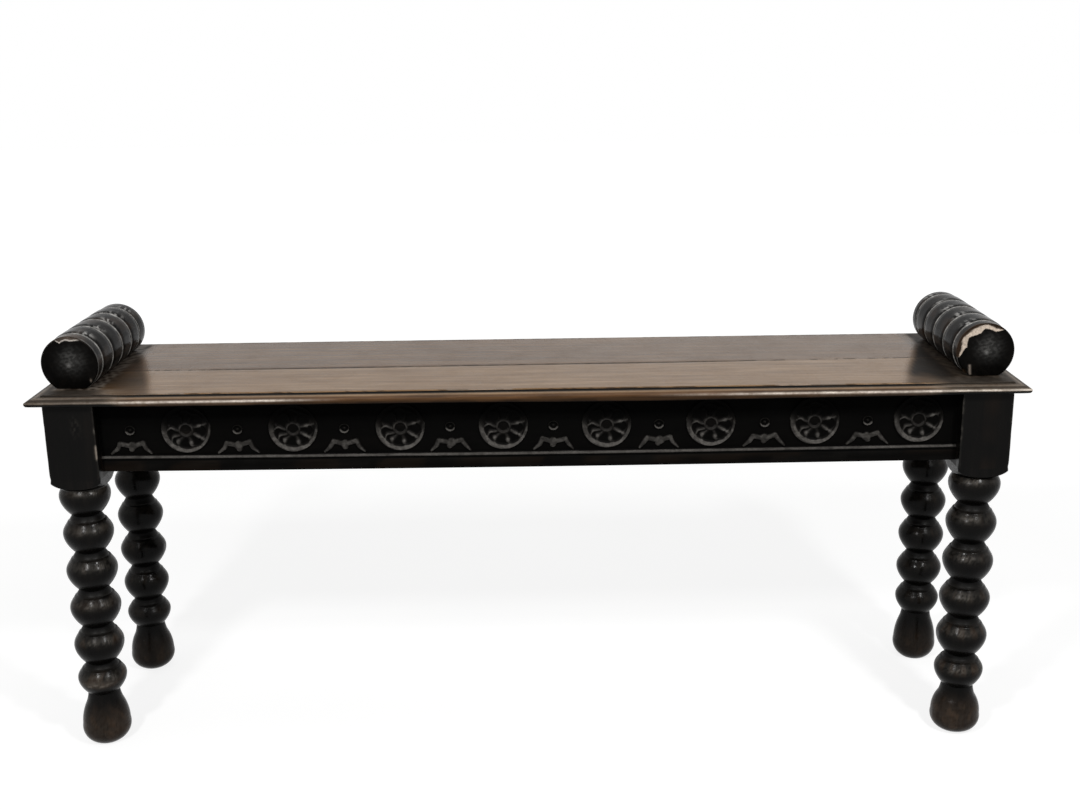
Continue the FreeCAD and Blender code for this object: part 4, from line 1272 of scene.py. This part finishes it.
@dataclass
class EndRolls:
    """The ring turned rolls across the ends of the seat, with broken edges at the front."""

    axis_x: float = 547.0
    axis_z: float = 492.0
    front_y: float = -96.0
    back_y: float = 110.0
    radius: float = 34.4
    crown: float = 1.0
    flat_drop: float = 29.5
    dome: float = 2.0
    dent: float = 0.7
    rim: float = 1.3
    groove: float = 2.2
    groove_half: float = 1.5
    easing: float = 9.0
    out_of_round: float = 0.003
    facets: int = 180
    crease: float = 50.0
    lines: dict[Side, tuple[float, ...]] = field(default_factory=lambda: {
        Side.LEFT: (-75.5, -34.7, 6.0, 45.0, 82.0),
        Side.RIGHT: (-77.5, -34.5, 8.8, 49.5, 89.8)})
    breaks: dict[Side, tuple[tuple[float, float], ...]] = field(default_factory=lambda: {
        Side.LEFT: ((0, 1.3), (62, 1.3), (69, 2.2), (76, 4.6), (84, 4.9), (91, 3.4), (98, 4.2), (108, 5.8),
                    (113, 3.4), (116, 1.3), (360, 1.3)),
        Side.RIGHT: ((0, 1.3), (50, 1.3), (54, 1.7), (59, 4.4), (66, 7.5), (75, 7.8), (85, 6.1), (93, 5.1),
                     (97, 5.5), (106, 9.3), (120, 10.2), (133, 8.1), (141, 5.9), (147, 6.6), (153, 8.6),
                     (165, 9.7), (177, 7.4), (187, 3.7), (192, 1.6), (196, 1.3), (216, 1.3), (220, 2.9),
                     (229, 2.6), (233, 1.3), (360, 1.3))})

    def shaft(self, side: Side) -> Array:
        """Place and radius along a roll behind its front rim.

        Near a line the wood falls away by the square of the nearness, and at the line it drops
        to the bottom of a V. The bands between lines stand a crown's height over the ends.

        Args:
            side: which roll.
        Returns:
            (rows, 2) place along y and radius.
        """
        start, end = self.front_y + self.dome + 6.5, self.back_y - self.dome - self.rim
        offsets = np.array([-9.0, -5.0, -3.2, -2.2, -1.5, -0.8, -0.25, 0.25, 0.8, 1.5, 2.2, 3.2, 5.0, 9.0])
        y = np.concatenate([np.linspace(start, end, 26)] + [line + offsets for line in self.lines[side]])
        y = np.unique(np.clip(y, start, end))
        away = np.min(np.abs(y[:, None] - np.array(self.lines[side])), 1)
        banded = (y > self.lines[side][0]) & (y < self.lines[side][-1])
        half = self.groove_half
        radius = self.radius + self.crown * banded - self.groove * np.clip(1.0 - away / half, 0.0, 1.0)
        eased = 0.4 + self.crown * banded
        radius -= eased * np.clip(1.0 - (away - half) / self.easing, 0.0, 1.0) ** 2 * (away > half)
        radius -= eased * (away <= half)
        return np.stack([y, radius], -1)

    def rings(self, side: Side) -> Rings:
        """The rings of one roll, planed flat where it sits on the seat.

        The front disc is domed by the 1.25th power of the distance from its middle, where it has
        the small dent of the lathe's centre. The front rim is a bevel whose size follows the
        breaks: it leaves the disc at the full radius less the break and meets the side a little
        behind the rim, sagging by a sine where it is torn.

        Args:
            side: which roll.
        Returns:
            The rings.
        """
        degrees, sizes = np.array(self.breaks[side]).T
        around = np.linspace(0.0, TAU, self.facets, endpoint=False)
        chip = np.interp(np.degrees(around), degrees, sizes)
        torn = smooth(chip, 1.5, 2.4)
        rag = torn * (0.55 * waver(around, 61, TAU / 7.0) + 0.35 * waver(around, 62, TAU / 19.0))
        chip = np.maximum(chip + rag, self.rim)
        behind = self.rim + torn * (0.7 + 0.06 * chip + 0.3 * waver(around, 63, TAU / 9.0))
        face = self.front_y + self.dome
        disc = np.concatenate([[0.0, 0.03, 0.07], np.linspace(0.12, 1.0, 26)])[:, None]
        inner = self.radius - chip[None, :]
        disc_out = disc * inner
        centre_dot = self.dent * bell(disc_out, 0.0, 1.1)
        disc_y = self.front_y + self.dome * (disc_out / self.radius) ** 1.25 + centre_dot
        slope = np.array([0.04, 0.1, 0.18, 0.26, 0.36, 0.48, 0.62, 0.76, 0.88, 1.0])[:, None]
        sag = torn * np.sin(slope * math.pi) * (0.5 + 0.25 * waver(around, 64, TAU / 23.0))
        bevel_out = inner + slope * (self.radius - inner) - sag * 0.6
        bevel_y = disc_y[-1] + slope * (face + behind - disc_y[-1]) + sag
        shaft = self.shaft(side)
        lead = np.array([0.25, 0.55, 0.85])[:, None]
        lead_y = bevel_y[-1] + lead * (shaft[0, 0] - bevel_y[-1])
        ends = np.array([(self.back_y - self.dome, self.radius - self.rim), (self.back_y - 1.2, 24.0),
                         (self.back_y - 0.4, 12.0), (self.back_y, 0.0)])
        plain = np.concatenate([shaft, ends])
        along = np.concatenate([disc_y, bevel_y, lead_y, plain[:, :1] + 0 * around])
        out = np.concatenate([disc_out, bevel_out, np.full_like(lead_y, self.radius),
                              plain[:, 1:] + 0 * around])
        out = out * (1.0 + self.out_of_round * waver(around, 65 + int(side.value), TAU))
        out = np.minimum(out, self.radius + self.crown)
        under = np.maximum(-np.sin(around), 1e-6)
        out = np.minimum(out, np.where(under > 1e-5, self.flat_drop / under, np.inf))
        return Rings(around, along, out, chip, torn, len(disc), len(disc) + len(slope) - 1)

    def masks(self, side: Side, rings: Rings) -> dict[str, Array]:
        """Wear and painted light of one roll: painted highlights on the far lips, painted glints, breaks of
        torn wood, a painted highlight on the disc, dark lines.

        A lip is a bell curve of the distance behind a line. Torn wood shows on the bevel within
        a reach from the disc, which is short on the left and nearly the break's width on the
        right.

        Args:
            side: which roll.
            rings: its grid.
        Returns:
            The wear and highlight, raw, grime and shade, and warm masks.
        """
        around, along, out = rings.around, rings.along, rings.out
        across, up = out * np.cos(around), out * np.sin(around)
        rows, angle = np.arange(len(out))[:, None], np.degrees(around)[None, :]
        is_left, torn = side is Side.LEFT, rings.torn[None, :]
        on_disc, behind_disc = rows < rings.first, rows > rings.last
        on_bevel = (rows >= rings.first - 1) & (rows <= rings.last)
        inner = self.radius - rings.chip[None, :]
        bite = np.hypot(out - inner, along - along[rings.first - 1]) * on_bevel
        margin = 1.0 + 2.8 * bell(angle, 70.0, 14.0) + 2.2 * bell(angle, 125.0, 22.0)
        margin = margin + 3.8 * bell(angle, 171.0, 16.0)
        fresh = 1.2 if is_left else np.maximum(rings.chip[None, :] - margin, 0.0)
        raw = on_bevel * torn * smooth(bite, fresh + 0.5, fresh - 0.4)
        past_line = along[..., None] - np.array(self.lines[side])
        # Painted highlights: a pale line behind each groove where its far lip catches the light, and glints
        # on the crowns.
        far_lip = bell(past_line, 1.8, 0.6).max(-1)
        glint = bell(angle, 90.0 + 26.0 * side.value, 13.0) * bell(past_line, 8.0, 5.0).max(-1)
        spots = patches(around[None, :] * 3.0, along / 14.0, 66 + int(side.value), 0.1)
        wear_and_highlight = far_lip * (0.7 + 0.3 * spots) + 0.02 * patches(around[None, :] * 2.0, along / 30.0, 67)
        wear_and_highlight = wear_and_highlight + 0.9 * glint * patches(around * 9.0, along / 5.0, 70, 0.0)
        wear_and_highlight = wear_and_highlight * behind_disc + 0.25 * bell(rows, rings.last, 1.5) * (1.0 - torn)
        # Painted highlight on the front disc above its middle and at its centre.
        halo = bell(np.hypot(across - 3.0, up - 6.0), 0.0, 13.0)
        rays = 0.5 + 0.5 * patches(across / 7.0, up / 3.0, 69, -0.2)
        wear_and_highlight = wear_and_highlight + (0.13 * halo * rays + 0.34 * bell(out, 0.0, 2.2)) * on_disc
        warm = 0.25 * patches(around[None, :] * 1.5, along / 40.0, 68) * behind_disc
        if is_left:
            rubbed_and_highlit = bell(angle, 97.0, 30.0) * smooth(along, -72.0, -84.0) * (rows >= rings.first)
            warm = warm + 0.9 * rubbed_and_highlit * (1.0 - raw)
            wear_and_highlight = wear_and_highlight + 0.08 * rubbed_and_highlit + 0.8 * raw
            raw = 0.42 * raw
            mark = bell(across, 24.0, 0.9) * bell(up, -19.5, 1.8)
        else:
            raw = raw * smooth(angle, 196.0, 188.0)
            beside = (rows >= rings.first) * (rows <= rings.last + 3)
            warm = warm + 0.5 * torn * (1.0 - raw) * beside
            mark = bell(across + 0.1 * (up + 21.5), -18.0, 1.3)
            mark = mark * smooth(up, -29.0, -27.0) * smooth(up, -14.5, -16.0)
        raw = raw + 0.38 * mark * on_disc
        grime_and_shade = 1.0 - np.abs(past_line).min(-1) / 1.3
        return {"wear_and_highlight": wear_and_highlight, "raw": raw, "grime_and_shade": grime_and_shade, "warm": warm}

    def build_roll(self, side: Side, material: bpy.types.Material) -> None:
        """Builds one roll as rings round its axis, which runs from front to back.

        Args:
            side: which roll.
            material: its finish.
        """
        rings = self.rings(side)
        axes = (np.array([1.0, 0, 0]), np.array([0, 0, 1.0]), np.array([0, 1.0, 0]),
                np.array([side.value * self.axis_x, 0.0, self.axis_z]))
        points = revolved(axes, rings.around, rings.along, rings.out)
        name = side.name.lower() + "_roll"
        skin = Patch(points, self.masks(side, rings), closed=True)
        Piece("turned_" + name, "roll_oak", (name,)).add(skin).finish(material, self.crease)

    def build(self, finishes: Finishes) -> None:
        """Builds the left and right rolls."""
        for side in Side:
            self.build_roll(side, finishes.roll)


# Plain pieces

@dataclass
class HiddenWork:
    """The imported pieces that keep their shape: plain rails, tongue, glue blocks and nails."""

    long_rails: tuple[str, ...] = ("back_rail",)
    end_rails: tuple[str, ...] = ("left_end_rail", "right_end_rail")
    along: tuple[str, ...] = ("seat_tongue", "glue_block_front_left", "glue_block_front_middle",
                              "glue_block_front_right", "glue_block_back_left",
                              "glue_block_back_middle", "glue_block_back_right")
    across: tuple[str, ...] = ("glue_block_left_end", "glue_block_right_end")
    nails: tuple[str, ...] = ("seat_nails", "left_roll_nails", "right_roll_nails")

    def dress(self, names: tuple[str, ...], material: bpy.types.Material) -> None:
        """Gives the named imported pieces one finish.

        Args:
            names: their nodes.
            material: the finish.
        """
        for name in names:
            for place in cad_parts[name].material_slots:
                place.material = material
            LOG.info("%s: %s", name, material.name)

    def build(self, finishes: Finishes) -> None:
        """Dresses every plain piece.

        Args:
            finishes: the finishes.
        """
        self.dress(self.long_rails, finishes.rail)
        self.dress(self.end_rails, finishes.end_rail)
        self.dress(self.along, finishes.bare)
        self.dress(self.across, finishes.bare_end)
        self.dress(self.nails, finishes.iron)


# Studio

@dataclass
class Lamp:
    """A soft square lamp that faces a point of the bench."""

    name: str
    place: tuple[float, float, float]
    target: tuple[float, float, float]
    size: float
    power: float

    def build(self) -> None:
        """Adds the lamp, turned so that its -z axis points from its place to the target."""
        light = bpy.data.lights.new(self.name, "AREA")
        light.shape, light.size, light.energy = "SQUARE", self.size, self.power
        way = np.array(self.place) - np.array(self.target)
        way = way / np.linalg.norm(way)
        side = np.cross((0.0, 0.0, 1.0), way)
        side = side / np.linalg.norm(side)
        stand(self.name, light).matrix_world = stance(self.place, side, np.cross(way, side), way)


@dataclass
class Studio:
    """Camera, soft lamps, pale floor and white surround."""

    camera_place: tuple[float, float, float] = (0.020992, -1.6825147, 0.8753839)
    yaw: float = -0.229
    pitch: float = 15.528
    roll: float = -0.877
    lens: float = 45.622
    film: float = 36.0
    floor_half: float = 9.0
    lamps: tuple[Lamp, ...] = (
        Lamp("lamp_left", (-0.77, -1.6, 1.6), (-0.1, 0.0, 0.4), 0.18, 20.0),
        Lamp("lamp_right", (0.87, -1.3, 1.6), (0.1, 0.0, 0.4), 0.18, 18.0),
        Lamp("lamp_over", (0.0, 0.3, 2.6), (0.0, 0.0, 0.4), 1.6, 11.0))
    soft: float = 0.25

    def camera(self) -> None:
        """Places the camera: forward from yaw and pitch, then rolled about that line."""
        yaw, pitch, roll = (math.radians(turn) for turn in (self.yaw, self.pitch, self.roll))
        level = math.cos(pitch)
        forward = np.array([math.sin(yaw) * level, math.cos(yaw) * level, -math.sin(pitch)])
        flat = np.array([math.cos(yaw), -math.sin(yaw), 0.0])
        above = np.cross(flat, forward)
        right = math.cos(roll) * flat + math.sin(roll) * above
        up = math.cos(roll) * above - math.sin(roll) * flat
        lens = bpy.data.cameras.new("camera")
        lens.lens, lens.sensor_width, lens.clip_start = self.lens, self.film, 0.01
        camera = stand("camera", lens)
        camera.matrix_world = stance(self.camera_place, right, up, -forward)
        bpy.context.scene.camera = camera

    def seen_white(self, g: Graph) -> Socket:
        """1 for rays from the camera, from reflections and through glass, 0 for light on the object.

        Args:
            g: the nodes of the floor's material or of the world.
        Returns:
            The switch between the white look and the true one.
        """
        path = g.add("ShaderNodeLightPath").outputs
        seen = g.step("MAXIMUM", path["Is Camera Ray"], path["Is Glossy Ray"])
        return g.step("MAXIMUM", seen, path["Is Transmission Ray"])

    def floor(self) -> None:
        """A wide pale floor that looks white but keeps the bench's shadow."""
        g = Graph(bpy.data.materials.new("floor_paper"))
        tone = g.blend(g.span(g.noise(3.0), 0.3, 0.7), (0.29, 0.29, 0.288), (0.31, 0.31, 0.308))
        paper = g.add("ShaderNodeBsdfDiffuse", {"Color": tone})
        away = g.add("ShaderNodeVectorMath", {0: g.place}, operation="LENGTH").outputs["Value"]
        strength = g.span(away, 0.8, 3.2, 0.80, 1.0)
        glow = g.add("ShaderNodeEmission", {"Color": WHITE, "Strength": strength})
        lit = g.add("ShaderNodeAddShader", {0: paper.outputs[0], 1: glow.outputs[0]})
        seen = self.seen_white(g)
        mix = g.add("ShaderNodeMixShader", {0: seen, 1: paper.outputs[0], 2: lit.outputs[0]})
        g.add("ShaderNodeOutputMaterial", {"Surface": mix.outputs[0]})
        mesh = bpy.data.meshes.new("floor")
        half = self.floor_half
        square = [(-half, -half, 0.0), (half, -half, 0.0), (half, half, 0.0), (-half, half, 0.0)]
        mesh.from_pydata(square, [], [(0, 1, 2, 3)])
        mesh.materials.append(g.owner)
        floor = stand("floor", mesh)
        floor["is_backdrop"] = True

    def surround(self) -> None:
        """A world that looks white and lights the bench softly."""
        g = Graph(bpy.data.worlds.new("surround"))
        soft = g.add("ShaderNodeBackground", {"Color": WHITE, "Strength": self.soft})
        white = g.add("ShaderNodeBackground", {"Color": WHITE, "Strength": 1.0})
        seen = self.seen_white(g)
        mix = g.add("ShaderNodeMixShader", {0: seen, 1: soft.outputs[0], 2: white.outputs[0]})
        g.add("ShaderNodeOutputWorld", {"Surface": mix.outputs[0]})
        bpy.context.scene.world = g.owner

    def build(self) -> None:
        """Sets up the whole studio."""
        self.camera()
        for lamp in self.lamps:
            lamp.build()
        self.floor()
        self.surround()
        bpy.context.scene.view_settings.view_transform = "Standard"


def corners() -> list[list[float]]:
    """The object's box as plain lists."""
    return [list(corner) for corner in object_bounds()]


def main() -> None:
    logging.basicConfig(level=logging.INFO, format="%(name)s: %(message)s")
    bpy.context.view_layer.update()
    Studio().build()
    finishes = Finishes()
    for work in (TurnedLegs(), CarvedRail(), SeatTop(), EndRolls(), HiddenWork()):
        work.build(finishes)
        LOG.info("%s done", type(work).__name__)


if __name__ == "__main__":
    main()
